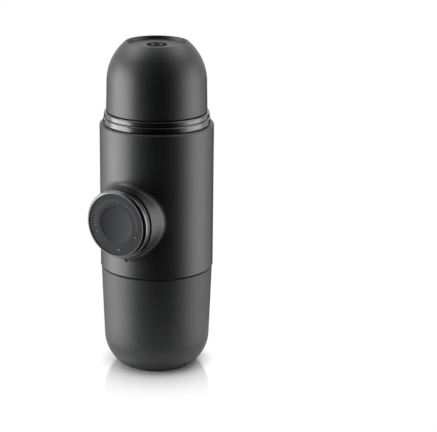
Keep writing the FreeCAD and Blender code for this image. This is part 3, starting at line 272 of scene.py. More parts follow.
@dataclass(frozen=True)
class SiliconeRubber(Surface):
    """Silicone rubber: a soft sheen, and a trace of dust that its tacky face holds.

    Real dust is finer than a pixel, so it is drawn coarser.
    """

    roughness: float = 0.62
    ior: float = 1.41
    sheen: float = 0.15
    sheen_roughness: float = 0.4
    dust: float = 0.35
    dust_depth: float = 0.006
    dust_detail: float = 4.0
    wiped: float = 0.05
    dusty: float = 0.08

    def shade(self, tree: NodeTree, place: NodeSocket) -> NodeSocket:
        """Add the rubber and its dust.

        Args:
            tree: tree of the material.
            place: its Object coordinates.

        Returns:
            The shader's output.
        """
        dust, normal = add_relief(tree, place, self.dust, self.dust_detail, self.dust_depth)
        rough = add_node(tree, "ShaderNodeMapRange", {
            "To Min": self.roughness - self.wiped, "To Max": self.roughness + self.dusty}, {"Value": dust})
        shader = add_node(tree, "ShaderNodeBsdfPrincipled", {
            "IOR": self.ior, "Sheen Weight": self.sheen, "Sheen Roughness": self.sheen_roughness,
            "Base Color": linear(self.colour)}, {"Roughness": rough.outputs["Result"], "Normal": normal})
        return shader.outputs["BSDF"]


@dataclass(frozen=True)
class PadPrint(Surface):
    """Pad-printed ink, thin and slightly uneven where the plastic's grain shows through it.

    The unevenness is as fine as the grain, and is drawn coarser with it.
    """

    roughness: float = 0.85
    ior: float = 1.5
    gloss: float = 0.2
    mottle: float = 0.3
    mottle_detail: float = 2.0
    thin: float = 0.7
    thick: float = 1.2

    def shade(self, tree: NodeTree, place: NodeSocket) -> NodeSocket:
        """Add the ink, lighter where it lies thick.

        Args:
            tree: tree of the material.
            place: its Object coordinates.

        Returns:
            The shader's output.
        """
        mottle = add_node(tree, "ShaderNodeTexNoise", {
            "Scale": 1 / (self.mottle * MM), "Detail": self.mottle_detail}, {"Vector": place})
        tint = add_node(tree, "ShaderNodeMix", {
            "data_type": "RGBA", 6: linear(self.colour, self.thin), 7: linear(self.colour, self.thick)},
            {0: mottle.outputs["Fac"]})
        shader = add_node(tree, "ShaderNodeBsdfPrincipled", {
            "IOR": self.ior, "Roughness": self.roughness, "Specular IOR Level": self.gloss}, {
            "Base Color": tint.outputs[2]})
        return shader.outputs["BSDF"]


class Finish(Enum):
    """The finishes of the object's pieces."""

    # Matt soft-touch mouldings: dark, with wide and dim highlights.
    HOUSING = MouldedPlastic("soft_touch_abs_housing", "#202123", 0.43)
    # The tank's colour is lighter than the housing's: painted light, standing in for the light that the white
    # floor throws up on the tank.
    TANK_PAINTED_BOUNCE = MouldedPlastic("soft_touch_abs_tank_painted_bounce", "#28292b", 0.53)
    CUP = MouldedPlastic("soft_touch_abs_cup", "#1d1e20", 0.43)
    # Satin lacquer over smooth black plastic: deep black, with a narrower highlight.
    COLLAR = MouldedPlastic("lacquered_abs_collar", "#121213", 0.28, coat=0.6, coat_roughness=0.2, grain=1.2,
                            grain_depth=0.001, uneven_gloss=0.02)
    # Moulded in a finely polished mould: a satin gloss.
    KNOB = MouldedPlastic("satin_abs_knob", "#1e1f21", 0.28, grain=0.4, grain_depth=0.004)
    # Etched matt, so that the print on it reads at every angle.
    FACE = MouldedPlastic("matt_abs_knob_face", "#252628", 0.5, gloss=0.14, grain=0.4)
    # Glass fibres reach the skin of the moulding: grey, dull and coarse.
    INNER = MouldedPlastic("glass_filled_nylon", "#3a3b3d", 0.55, ior=1.53, grain=0.8, grain_depth=0.02)
    # Turned or drawn steel: bright, with highlights that fan out across the tool marks.
    STEEL = TurnedMetal("turned_stainless_steel", "#c9c8c4")
    PUMP_STEEL = TurnedMetal("drawn_stainless_steel_pump", "#c9c8c4", along_pump=True)
    SPRING = TurnedMetal("drawn_spring_wire", "#b4b3b0", roughness=0.24)
    # Dark chrome on a turned edge: a thin grey glint.
    CHROME = TurnedMetal("black_chromed_edge", "#68696b", along_pump=True)
    # Moulded rubber is black and dull. The extruded tube is pale and smoother.
    RUBBER = SiliconeRubber("moulded_silicone_rubber", "#1d1d1f")
    TUBE = SiliconeRubber("extruded_silicone_tube", "#6f7071", roughness=0.45)
    # Matt ink in a thin film: flat marks with slightly uneven cover.
    PALE_INK = PadPrint("pad_printed_pale_ink", "#8a8b8d")
    GREY_INK = PadPrint("pad_printed_grey_ink", "#636466")
    DARK_INK = PadPrint("pad_printed_dark_ink", "#060606", gloss=0.05)

    def material(self) -> Material:
        """Return the material of this finish."""
        return self.value.make()


# Shapes

def dress(finish: Finish, *nodes: str) -> None:
    """Give carried-over CAD nodes their finish.

    Args:
        finish: the finish.
        nodes: names of the nodes.
    """
    for node in nodes:
        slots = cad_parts[node].data.materials
        slots.clear()
        slots.append(finish.material())


def make_object(mesh: BMesh, name: str) -> Object:
    """Turn a bmesh into an object in the scene and free the bmesh.

    Args:
        mesh: the mesh, in metres and in place.
        name: name of the object and of its mesh.

    Returns:
        The new object.
    """
    data = bpy.data.meshes.new(name)
    mesh.to_mesh(data)
    mesh.free()
    made = bpy.data.objects.new(name, data)
    bpy.context.scene.collection.objects.link(made)
    return made


def make_piece(mesh: BMesh, name: str, finish: Finish, body: Optional[str] = None,
               replaces: Sequence[str] = (), crease: float = 40.0) -> Object:
    """Turn a bmesh into a piece of the object: smooth, dressed, and riding on its body.

    Args:
        mesh: the mesh, in metres and in place.
        name: name of the piece.
        finish: its finish.
        body: the body that it rides on, or None to leave it on no body, as for a spring that stretches
            between two.
        replaces: CAD nodes that it stands for.
        crease: degrees between two faces past which their edge stays sharp.

    Returns:
        The piece.
    """
    bmesh.ops.remove_doubles(mesh, verts=mesh.verts, dist=MERGE_DISTANCE)
    bmesh.ops.recalc_face_normals(mesh, faces=mesh.faces)
    piece = make_object(mesh, name)
    piece.data.shade_smooth()
    piece.data.set_sharp_from_angle(angle=math.radians(crease))
    piece.data.materials.append(finish.material())
    if body:
        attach(piece, body)
    if replaces:
        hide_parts(*replaces)
    log.info("%s: %d faces", name, len(piece.data.polygons))
    return piece


def elements(kind: type, geometry: Sequence[Any]) -> list[Any]:
    """Return the elements of one kind, such as the vertices, out of mixed geometry."""
    return [item for item in geometry if isinstance(item, kind)]


def extrude_edges(mesh: BMesh, edges: Sequence[BMEdge]) -> tuple[list[BMVert], list[BMEdge]]:
    """Extrude edges where they are.

    Args:
        mesh: the mesh.
        edges: the edges.

    Returns:
        The new vertices, and the new edges that copy the old ones.
    """
    made = bmesh.ops.extrude_edge_only(mesh, edges=edges)["geom"]
    corners = elements(BMVert, made)
    copies = [edge for edge in elements(BMEdge, made) if all(end in corners for end in edge.verts)]
    return corners, copies


def extrude_faces(mesh: BMesh, offset: Vector) -> None:
    """Give a flat mesh a thickness, from its faces to new ones at an offset."""
    made = bmesh.ops.extrude_face_region(mesh, geom=mesh.faces[:], use_keep_orig=True)
    bmesh.ops.translate(mesh, verts=elements(BMVert, made["geom"]), vec=offset)


def close_holes(mesh: BMesh, sides: int) -> None:
    """Fill the holes of a mesh that have no more than a number of sides."""
    bmesh.ops.holes_fill(mesh, edges=[edge for edge in mesh.edges if edge.is_boundary], sides=sides)


def draw_line(mesh: BMesh, points: Sequence[Sequence[float]], closed: bool = True) -> list[Any]:
    """Draw a line from point to point.

    Args:
        mesh: mesh that it is drawn in.
        points: the points, in metres.
        closed: whether the last point joins the first.

    Returns:
        The new vertices and edges.
    """
    corners = [mesh.verts.new(point) for point in points]
    ends = corners[1:] + corners[:1] if closed else corners[1:]
    return corners + [mesh.edges.new(pair) for pair in zip(corners, ends)]


def draw_outline(mesh: BMesh, outline: Sequence[Point], closed: bool = True) -> list[Any]:
    """Draw a line through (radius, height) points, in millimetres, in the plane of X and Z."""
    return draw_line(mesh, [(radius * MM, 0, height * MM) for radius, height in outline], closed)


def turn(outline: Sequence[Point], closed: bool = True, steps: int = 72) -> BMesh:
    """Turn an outline of (radius, height) points about the Z axis.

    Args:
        outline: the points, in millimetres.
        closed: whether the last point joins the first.
        steps: faces round the piece.

    Returns:
        The mesh.
    """
    mesh = bmesh.new()
    bmesh.ops.spin(mesh, geom=draw_outline(mesh, outline, closed), cent=(0, 0, 0), axis=(0, 0, 1),
                   dvec=(0, 0, 0), angle=math.tau, steps=steps, use_merge=True)
    return mesh


def wind(section: Sequence[Point], stretches: Sequence[Point], steps: int = 36) -> BMesh:
    """Wind a closed section about the Z axis, in stretches that each have their own pitch.

    Args:
        section: (radius, height) points of the section, in millimetres.
        stretches: turns and rise in millimetres, of each stretch.
        steps: faces in a turn.

    Returns:
        The mesh, closed at both ends.
    """
    mesh = bmesh.new()
    geometry = draw_outline(mesh, section)
    for turns, rise in stretches:
        count = round(turns * steps)
        made = bmesh.ops.spin(mesh, geom=geometry, cent=(0, 0, 0), axis=(0, 0, 1),
                              dvec=(0, 0, rise * MM / count), angle=math.tau * turns, steps=count)
        geometry = made["geom_last"]
    close_holes(mesh, len(section))
    return mesh


def round_section(radius: float, wire: float, height: float, count: int = 10) -> list[Point]:
    """Return the points of a round wire's section.

    Args:
        radius: from the axis to the middle of the wire.
        wire: radius of the wire.
        height: of the middle of the wire.
        count: number of points.

    Returns:
        (radius, height) points, in millimetres.
    """
    angles = [math.tau * step / count for step in range(count)]
    return [(radius + wire * math.cos(angle), height + wire * math.sin(angle)) for angle in angles]


def repeat_about(mesh: BMesh, centre: Vector, axis: Vector, angle: float, copies: int) -> None:
    """Repeat the whole mesh about an axis.

    Args:
        mesh: the mesh.
        centre: a point of the axis.
        axis: its direction.
        angle: radians from the first to the last copy.
        copies: number of copies beside the first.
    """
    geometry = mesh.verts[:] + mesh.edges[:] + mesh.faces[:]
    bmesh.ops.spin(mesh, geom=geometry, cent=centre, axis=axis, dvec=(0, 0, 0), angle=angle, steps=copies,
                   use_duplicate=True)


def perforate(radius: float, hole: float, pitch: float, margin: float, low: float, high: float) -> BMesh:
    """Make a disc with round holes in a close triangular pattern.

    Args:
        radius: of the disc.
        hole: radius of a hole.
        pitch: between neighbouring holes.
        margin: unpunched rim.
        low: underside of the disc.
        high: top of the disc.

    Returns:
        The mesh.
    """
    mesh = bmesh.new()
    bmesh.ops.create_circle(mesh, segments=ROUND_STEPS, radius=radius * MM,
                            matrix=Matrix.Translation((0, 0, low * MM)))
    row_step = pitch * math.sqrt(3) / 2
    rows = int(radius / row_step)
    for row in range(-rows, rows + 1):
        for column in range(-rows - 1, rows + 2):
            spot = Vector(((column + row % 2 / 2) * pitch, row * row_step, low))
            if spot.to_2d().length + hole < radius - margin:
                bmesh.ops.create_circle(mesh, segments=8, radius=hole * MM,
                                        matrix=Matrix.Translation(spot * MM))
    bmesh.ops.triangle_fill(mesh, use_beauty=True, edges=mesh.edges[:], normal=(0, 0, 1))
    extrude_faces(mesh, Vector((0, 0, (high - low) * MM)))
    return mesh


def pill(across: float, along: float, segments: int = 12) -> BMesh:
    """Make a flat pill in the plane of X and Z that faces -Y, round where its two sizes are equal.

    Args:
        across: width along X, in millimetres.
        along: length along Z, in millimetres.
        segments: points of its outline.

    Returns:
        The mesh.
    """
    mesh = bmesh.new()
    bmesh.ops.create_circle(mesh, cap_ends=True, segments=segments, radius=across / 2 * MM,
                            matrix=Matrix.Rotation(math.pi / 2, 4, "X"))
    for corner in mesh.verts:
        corner.co.z += math.copysign((along - across) / 2 * MM, corner.co.z)
    return mesh


@dataclass(frozen=True)
class ThreadRidge:
    """A low rounded thread ridge on a bore or a spigot, which clears the one that it faces."""

    radius: float
    low: float
    turns: float = 2.5
    pitch: float = 2.6
    height: float = 0.15
    crest: float = 0.3
    foot: float = 1.1
    sunk: float = 0.1
    steps: int = 72
    inward: bool = False

    def make(self) -> BMesh:
        """Wind the ridge.

        Returns:
            The mesh.
        """
        side = -1 if self.inward else 1
        section = [(self.radius - side * self.sunk, self.low), (self.radius, self.low + self.sunk),
                   (self.radius + side * self.height, self.low + (self.foot - self.crest) / 2),
                   (self.radius + side * self.height, self.low + (self.foot + self.crest) / 2),
                   (self.radius, self.low + self.foot - self.sunk),
                   (self.radius - side * self.sunk, self.low + self.foot)]
        return wind(section, [(self.turns, self.turns * self.pitch)], self.steps)


# Sub-assemblies

@dataclass(frozen=True)
class WaterTank:
    """Water tank with its flat seal and the thread of its mouth."""

    mouth_radius: float = 25.9
    thread_low: float = 45.4

    def build(self) -> None:
        """Dress the tank and add its thread."""
        dress(Finish.TANK_PAINTED_BOUNCE, "water_tank")
        dress(Finish.RUBBER, "tank_seal")
        ridge = ThreadRidge(self.mouth_radius, self.thread_low, turns=2.2, inward=True)
        make_piece(ridge.make(), "tank_mouth_thread", Finish.TANK_PAINTED_BOUNCE, "tank")


@dataclass(frozen=True)
class PlateScrew:
    """Pan-head screw with a cross recess, head down, its shank in the post above."""

    head_radius: float = 2.8
    head_height: float = 2.0
    shoulder_height: float = 1.1
    crown_radius: float = 2.632
    crown_height: float = 1.7
    flat_radius: float = 2.15
    shank_radius: float = 1.45
    shank_length: float = 11.2
    recess_reach: float = 1.5
    recess_width: float = 0.62
    recess_depth: float = 1.1
    recess_taper: float = 0.5
    steps: int = 24

    def cross(self) -> list[Point]:
        """Work out the outline of the cross recess.

        Returns:
            Its points, in millimetres.
        """
        half = self.recess_width / 2
        arm = [(self.recess_reach, -half), (self.recess_reach, half), (half, half)]
        outline: list[Point] = []
        for _ in range(4):
            outline += arm
            arm = [(-up, across) for across, up in arm]
        return outline

    def make(self) -> BMesh:
        """Build the screw, the underside of its head at the origin.

        Returns:
            The mesh.
        """
        mesh = bmesh.new()
        face = -self.head_height * MM
        draw_line(mesh, [(across * MM, up * MM, face) for across, up in self.cross()])
        recess = mesh.edges[:]
        bmesh.ops.create_circle(mesh, segments=self.steps, radius=self.flat_radius * MM,
                                matrix=Matrix.Translation((0, 0, face)))
        rim = [edge for edge in mesh.edges if edge not in recess]
        bmesh.ops.triangle_fill(mesh, use_beauty=True, edges=recess + rim, normal=(0, 0, -1))
        radius = self.flat_radius
        for wide, level in (
                (self.crown_radius, -self.crown_height), (self.head_radius, -self.shoulder_height),
                (self.head_radius, 0.0), (self.shank_radius, 0.0), (self.shank_radius, self.shank_length)):
            rim = self.draw_on(mesh, rim, wide / radius, level)
            radius = wide
        recess = self.draw_on(mesh, recess, self.recess_taper, self.recess_depth - self.head_height)
        for loop in (rim, recess):
            bmesh.ops.holes_fill(mesh, edges=loop, sides=len(loop))
        return mesh

    def draw_on(self, mesh: BMesh, loop: Sequence[BMEdge], share: float, level: float) -> list[BMEdge]:
        """Draw a loop of edges on to another height.

        Args:
            mesh: the screw.
            loop: the edges.
            share: width of the new loop, where the width of the old one is 1.
            level: its height, in millimetres.

        Returns:
            The edges of the new loop.
        """
        corners, drawn = extrude_edges(mesh, loop)
        for corner in corners:
            corner.co.x *= share
            corner.co.y *= share
            corner.co.z = level * MM
        return drawn


@dataclass(frozen=True)
class MainBody:
    """Housing with its boss, the base plate below it with its spigot, screws and vent, and the inlet tube."""

    spigot_radius: float = 25.5
    thread_low: float = 46.0
    screw_circle: float = 18.5
    screw_count: int = 3
    first_screw: float = 30.0
    screw_span: float = 120.0
    # The index notch is painted shade and the index dot a painted highlight: the shaded and the lit wall of a
    # notch recessed in the housing.
    painted_shade_place: Point = (0.0, -22.1)
    painted_shade_size: Point = (0.95, 2.0)
    painted_highlight_place: Point = (0.95, -22.8)
    dot_size: Point = (0.7, 1.1)
    mark_proud: float = 0.05

    def build(self) -> None:
        """Dress the body and add its thread, screws and index mark, whose two pills are painted shade and a
        painted highlight.
        """
        dress(Finish.HOUSING, "main_housing")
        dress(Finish.INNER, "base_plate", "pump_block")
        dress(Finish.RUBBER, "vent_valve")
        dress(Finish.TUBE, "inlet_tube")
        ridge = ThreadRidge(self.spigot_radius, self.thread_low, turns=2.2)
        make_piece(ridge.make(), "spigot_thread", Finish.INNER, "main_body")
        self.add_screws()
        # A dark pill of painted shade and a pale pill of painted highlight stand in for the shaded and the
        # lit wall of a recessed notch.
        self.add_index("index_notch_painted_shade", Finish.DARK_INK, self.painted_shade_place, self.painted_shade_size)
        self.add_index("index_dot_painted_highlight", Finish.PALE_INK, self.painted_highlight_place, self.dot_size)

    def add_screws(self) -> None:
        """Add the screws of the base plate."""
        mesh = PlateScrew().make()
        angle = math.radians(self.first_screw)
        spot = Vector((math.cos(angle), math.sin(angle), 0)) * self.screw_circle * MM
        seat = Vector((0, 0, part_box("main_housing")[0].z))
        bmesh.ops.translate(mesh, verts=mesh.verts, vec=spot + seat)
        repeat_about(mesh, Vector(), Vector((0, 0, 1)), math.radians(self.screw_span), self.screw_count - 1)
        make_piece(mesh, "plate_screw_set", Finish.STEEL, "main_body", ["plate_screws"])

    def add_index(self, name: str, finish: Finish, place: Point, size: Point) -> None:
        """Lay a small pill of ink on the housing, below its boss, as painted light: the dark one is painted
        shade and the pale one a painted highlight.

        Args:
            name: name of the piece.
            finish: its ink; the dark ink paints shade, the pale ink a highlight.
            place: millimetres across and up from the axis of the knob.
            size: width and height in millimetres.
        """
        mesh = pill(*size)
        across, up = place
        shift = Vector((across * MM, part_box("knob_face")[0].y, middle("knob_face").z + up * MM))
        bmesh.ops.translate(mesh, verts=mesh.verts, vec=shift)
        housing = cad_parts["main_housing"]
        skin = BVHTree.FromPolygons([corner.co for corner in housing.data.vertices],
                                    [face.vertices for face in housing.data.polygons])
        for corner in mesh.verts:
            hit, _, _, _ = skin.ray_cast(corner.co, Vector((0, 1, 0)))
            corner.co = hit + Vector((0, self.mark_proud * MM, 0))
        extrude_faces(mesh, Vector((0, -2 * self.mark_proud * MM, 0)))
        make_piece(mesh, name, finish, "main_body")


@dataclass(frozen=True)
class Pump:
    """Sleeve, piston, valves and springs, all round the axis of the knob or the valve column."""

    spring_radius: float = 10.5
    spring_wire: float = 0.7
    spring_turns: float = 5.0
    valve_radius: float = 1.5
    valve_wire: float = 0.2
    valve_turns: float = 2.6
    valve_section: int = 8
    valve_steps: int = 24
    ball_lift: float = 1.2
    clear: float = 0.02

    def build(self) -> None:
        """Dress the pump and wind its springs."""
        dress(Finish.PUMP_STEEL, "cylinder_sleeve", "piston_rod", "knob_screw")
        dress(Finish.STEEL, "inlet_valve_ball", "outlet_valve_ball")
        dress(Finish.INNER, "rod_guide", "valve_retainer")
        dress(Finish.RUBBER, "piston_seal")
        self.add_return_spring()
        self.add_valve_spring()

    def closed_ends(self, length: float, wire: float, turns: float) -> list[Point]:
        """Return the stretches of a compression spring with one closed coil at each end.

        Args:
            length: from the middle of the wire at one end to the other.
            wire: radius of the wire.
            turns: open turns.

        Returns:
            Turns and rise of each stretch, in millimetres.
        """
        coil = 2 * wire + self.clear
        return [(1.0, coil), (turns, length - 2 * coil), (1.0, coil)]

    def add_return_spring(self) -> None:
        """Wind the return spring, which stretches between the barrel's flange and the knob."""
        low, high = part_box("return_spring")
        centre = Vector((0, high.y, middle("return_spring").z))
        length = (high.y - low.y) / MM - 2 * self.spring_wire
        section = round_section(self.spring_radius, self.spring_wire, self.spring_wire)
        mesh = wind(section, self.closed_ends(length, self.spring_wire, self.spring_turns))
        lay = Matrix.Translation(centre) @ Matrix.Rotation(math.pi / 2, 4, "X")
        bmesh.ops.transform(mesh, matrix=lay, verts=mesh.verts)
        spring = make_piece(mesh, "return_spring_coil", Finish.SPRING, None, ["return_spring"])
        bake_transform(spring)

    def add_valve_spring(self) -> None:
        """Wind the outlet valve's spring, which its ball presses up against the retainer."""
        low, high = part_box("outlet_valve_spring")
        length = (high.z - low.z) / MM - 2 * self.valve_wire
        section = round_section(self.valve_radius, self.valve_wire, self.valve_wire, self.valve_section)
        stretches = self.closed_ends(length, self.valve_wire, self.valve_turns)
        mesh = wind(section, stretches, self.valve_steps)
        bmesh.ops.translate(mesh, verts=mesh.verts, vec=(0, middle("outlet_valve_spring").y, low.z))
        spring = make_piece(mesh, "outlet_valve_coil", Finish.SPRING, "main_body",
                            ["outlet_valve_spring"])
        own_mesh(spring)


@dataclass(frozen=True)
class Knob:
    """Piston knob with its face disc and the bayonet ring that it locks in."""

    radius: float = 18.0
    ridge_count: int = 84
    ridge_width: float = 0.62
    ridge_height: float = 0.05
    ridge_sunk: float = 0.08
    ridge_flank: Point = (0.6, 0.7)
    ridge_back: float = 4.4
    ridge_length: float = 2.5
    tick_radius: float = 12.7
    tick_count: int = 28
    tick_start: float = 84.0
    tick_span: float = 196.0
    tick_size: Point = (0.6, 1.7)
    dot_radius: float = 13.3
    dot_turn: float = 7.1
    dot_size: Point = (1.2, 1.2)
    side_dot_turn: float = 66.0
    side_dot_size: Point = (0.8, 0.8)
    print_proud: float = 0.04
    edge_steps: int = 120
    edge_crease: float = 60.0
    # Sections of the bright edges, as radius and height above the bezel's flat.
    bezel_edge: tuple[Point, ...] = (
        (17.626, -0.813), (17.471, -0.696), (17.325, -0.617), (16.76, -0.02), (16.68, -0.02), (16.68, -0.12),
        (17.15, -0.65), (17.5, -0.88))
    side_edge: tuple[Point, ...] = (
        (17.96, -1.3), (18.04, -1.62), (18.04, -2.1), (17.85, -2.1), (17.85, -1.3))

    def build(self) -> None:
        """Dress the knob and add its bright edges, grip ridges and printed marks."""
        dress(Finish.KNOB, "knob", "bayonet_ring")
        dress(Finish.FACE, "knob_face")
        self.add_edge("knob_bezel_edge", self.bezel_edge)
        self.add_edge("knob_side_edge", self.side_edge)
        self.add_ridges()
        self.add_print("knob_ticks", Finish.GREY_INK, self.tick_size, self.tick_radius, self.tick_start,
                       self.tick_span, self.tick_count)
        self.add_print("knob_dot", Finish.PALE_INK, self.dot_size, self.dot_radius, self.dot_turn, 0.0, 0)
        self.add_print("knob_side_dots", Finish.PALE_INK, self.side_dot_size, self.tick_radius,
                       -self.side_dot_turn, 2 * self.side_dot_turn, 1)

    def centre(self) -> Vector:
        """Return the middle of the face disc's front."""
        face = middle("knob_face")
        return Vector((face.x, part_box("knob_face")[0].y, face.z))

    def add_edge(self, name: str, profile: Sequence[Point]) -> None:
        """Lay a bright edge on the bezel or on the side of the knob.

        Args:
            name: name of the piece.
            profile: its section.
        """
        ring = turn(profile, steps=self.edge_steps)
        front = self.centre()
        front.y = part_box("knob")[0].y
        lay = Matrix.Translation(front) @ Matrix.Rotation(math.pi / 2, 4, "X")
        bmesh.ops.transform(ring, matrix=lay, verts=ring.verts)
        make_piece(ring, name, Finish.CHROME, "knob", crease=self.edge_crease)

    def add_ridges(self) -> None:
        """Add the fine grip ridges on the side of the knob."""
        front = self.centre()
        mesh = bmesh.new()
        half = self.ridge_width / 2
        flank, rise = half * self.ridge_flank[0], self.ridge_height * self.ridge_flank[1]
        section = [(-half, -self.ridge_sunk), (-flank, rise), (0.0, self.ridge_height), (flank, rise),
                   (half, -self.ridge_sunk)]
        draw_outline(mesh, [(across, self.radius + up) for across, up in section])
        moved, _ = extrude_edges(mesh, mesh.edges[:])
        bmesh.ops.translate(mesh, verts=moved, vec=(0, self.ridge_length * MM, 0))
        close_holes(mesh, len(section))
        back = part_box("knob")[0].y + (self.ridge_back - self.ridge_length) * MM
        bmesh.ops.translate(mesh, verts=mesh.verts, vec=(front.x, back, front.z))
        span = math.tau * (self.ridge_count - 1) / self.ridge_count
        repeat_about(mesh, front, Vector((0, 1, 0)), span, self.ridge_count - 1)
        make_piece(mesh, "knob_grip_ridges", Finish.KNOB, "knob")

    def add_print(self, name: str, finish: Finish, size: Point, radius: float, start: float, span: float,
                  count: int) -> None:
        """Print marks on the face disc, on a circle that is counted from its lowest point.

        Args:
            name: name of the piece.
            finish: its ink.
            size: of a mark across and along its radius, in millimetres.
            radius: of the circle, in millimetres.
            start: degrees to the first mark, counted to the right.
            span: degrees from the first mark to the last.
            count: number of marks beside the first.
        """
        mesh = pill(*size)
        bmesh.ops.translate(mesh, verts=mesh.verts, vec=(0, self.print_proud * MM, -radius * MM))
        extrude_faces(mesh, Vector((0, -2 * self.print_proud * MM, 0)))
        bmesh.ops.rotate(mesh, cent=(0, 0, 0), matrix=Matrix.Rotation(-math.radians(start), 3, "Y"),
                         verts=mesh.verts)
        if count:
            repeat_about(mesh, Vector(), Vector((0, -1, 0)), math.radians(span), count)
        bmesh.ops.translate(mesh, verts=mesh.verts, vec=self.centre())
        make_piece(mesh, name, finish, "knob")


@dataclass(frozen=True)
class OutletHead:
    """Collar, dome and spout, with the basket, its screen and the shower plate below."""

    skirt_radius: float = 25.3
    skirt_thread_low: float = 117.5
    chamber_radius: float = 25.7
    chamber_thread_low: float = 117.0
    hole: float = 0.42
    pitch: float = 1.7
    margin: float = 1.1

    def build(self) -> None:
        """Dress the head and the basket, and add the threads and perforations."""
        dress(Finish.COLLAR, "outlet_collar")
        dress(Finish.INNER, "outlet_dome")
        dress(Finish.STEEL, "filter_basket", "spout_nozzle")
        dress(Finish.RUBBER, "brew_gasket", "outlet_seal", "cup_seal")
        skirt = ThreadRidge(self.skirt_radius, self.skirt_thread_low)
        make_piece(skirt.make(), "collar_thread", Finish.COLLAR, "outlet_head")
        bore = ThreadRidge(self.chamber_radius, self.chamber_thread_low, inward=True)
        make_piece(bore.make(), "chamber_thread", Finish.INNER, "main_body")
        self.add_screen("shower_plate", "main_body")
        self.add_screen("basket_screen", "basket")

    def add_screen(self, node: str, body: str) -> None:
        """Replace a drilled disc by one with the fine holes of the real one.

        Args:
            node: the CAD node.
            body: the body that it belongs to.
        """
        low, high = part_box(node)
        mesh = perforate(high.x / MM, self.hole, self.pitch, self.margin, low.z / MM, high.z / MM)
        make_piece(mesh, f"{node}_punched", Finish.STEEL, body, [node])


@dataclass(frozen=True)
class Cup:
    """Cup that is the lid, with a moulded ring in the recess of its foot."""

    recess_depth: float = 1.7
    ring_height: float = 0.16
    ring_sunk: float = 0.05
    ring_outer: float = 5.4
    ring_inner: float = 3.3
    eye_radius: float = 1.9
    edge: float = 0.1

    def build(self) -> None:
        """Dress the cup and add the ring."""
        dress(Finish.CUP, "cup")
        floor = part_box("cup")[1].z / MM - self.recess_depth
        foot = floor - self.ring_sunk
        crest = floor + self.ring_height
        ring = turn([(self.ring_inner, foot), (self.ring_inner + self.edge, crest),
                     (self.ring_outer - self.edge, crest), (self.ring_outer, foot)])
        make_piece(ring, "cup_foot_ring", Finish.DARK_INK, "cup")
        eye = turn([(0.0, crest), (self.eye_radius - self.edge, crest), (self.eye_radius, foot), (0.0, foot)],
                   closed=False)
        make_piece(eye, "cup_foot_eye", Finish.DARK_INK, "cup")


# Studio

def white_seen(tree: NodeTree) -> NodeSocket:
    """Return 1 for a ray that shows the background, straight on or through gloss or glass.

    Args:
        tree: tree of the floor or the world.

    Returns:
        The output that holds it.
    """
    rays = add_node(tree, "ShaderNodeLightPath")
    glossy = add_node(tree, "ShaderNodeMath", {"operation": "MAXIMUM"}, {
        0: rays.outputs["Is Camera Ray"], 1: rays.outputs["Is Glossy Ray"]})
    seen = add_node(tree, "ShaderNodeMath", {"operation": "MAXIMUM"}, {
        0: glossy.outputs[0], 1: rays.outputs["Is Transmission Ray"]})
    return seen.outputs[0]


@dataclass(frozen=True)
class FlockedCard(Surface):
    """Black flocked card, whose upright fibres swallow light from every side."""

    roughness: float = 1.0
    gloss: float = 0.0

    def shade(self, tree: NodeTree, place: NodeSocket) -> NodeSocket:
        """Add the shader and return its output."""
        shader = add_node(tree, "ShaderNodeBsdfPrincipled", {
            "Base Color": linear(self.colour), "Roughness": self.roughness, "Specular IOR Level": self.gloss})
        return shader.outputs["BSDF"]


@dataclass(frozen=True)
class AcrylicSheet(Surface):
    """Polished acrylic sheet, which looks white and mirrors the object's foot.

    Away from the object's axis, in metres, the shadow on it fades out over the contact and the mirror image
    over the mirror's reach.
    """

    roughness: float = 0.2
    polish: float = 0.12
    contact: Point = (0.019, 0.032)
    mirror_reach: Point = (0.018, 0.063)
    mirror_share: float = 0.75

    def shade(self, tree: NodeTree, place: NodeSocket) -> NodeSocket:
        """Add the sheet.

        Args:
            tree: tree of the material.
            place: its Object coordinates.

        Returns:
            The shader's output.
        """
        away = add_node(tree, "ShaderNodeVectorMath", {"operation": "LENGTH"}, {"Vector": place})
        contact = add_node(tree, "ShaderNodeMapRange", {
            "interpolation_type": "SMOOTHSTEP", "From Min": self.contact[0], "From Max": self.contact[1]},
            {"Value": away.outputs["Value"]})
        near = add_node(tree, "ShaderNodeMapRange", {
            "From Min": self.mirror_reach[0], "From Max": self.mirror_reach[1],
            "To Min": math.sqrt(self.mirror_share), "To Max": 0.0}, {"Value": away.outputs["Value"]})
        mirror = add_node(tree, "ShaderNodeMath", {"operation": "POWER", 1: 2.0}, {0: near.outputs["Result"]})
        share = add_node(tree, "ShaderNodeMath", {"operation": "MULTIPLY"}, {
            0: contact.outputs["Result"], 1: white_seen(tree)})
        plain = add_node(tree, "ShaderNodeBsdfPrincipled", {
            "Base Color": linear(self.colour), "Roughness": self.roughness})
        white = add_node(tree, "ShaderNodeEmission", {"Color": linear(WHITE), "Strength": 1.0})
        gloss = add_node(tree, "ShaderNodeBsdfAnisotropic", {
            "Color": linear(WHITE), "Roughness": self.polish})
        polished = add_node(tree, "ShaderNodeMixShader", None, {
            0: mirror.outputs[0], 1: white.outputs[0], 2: gloss.outputs[0]})
        mix = add_node(tree, "ShaderNodeMixShader", None, {
            0: share.outputs[0], 1: plain.outputs["BSDF"], 2: polished.outputs[0]})
        return mix.outputs[0]


@dataclass(frozen=True)
class SoftBox:
    """Rectangular soft box, placed from the object's axis and turned to it at the height of its aim.

    A radiance of 1 would show its face as white.
    """

    name: str
    turned: float
    distance: float
    height: float
    size: Point
    radiance: float
    aim: float


@dataclass(frozen=True)
class Card:
    """Black card bent round the object: its section from the object's axis, and its two edges in degrees."""

    name: str
    profile: tuple[Point, ...]
    start: float
    end: float


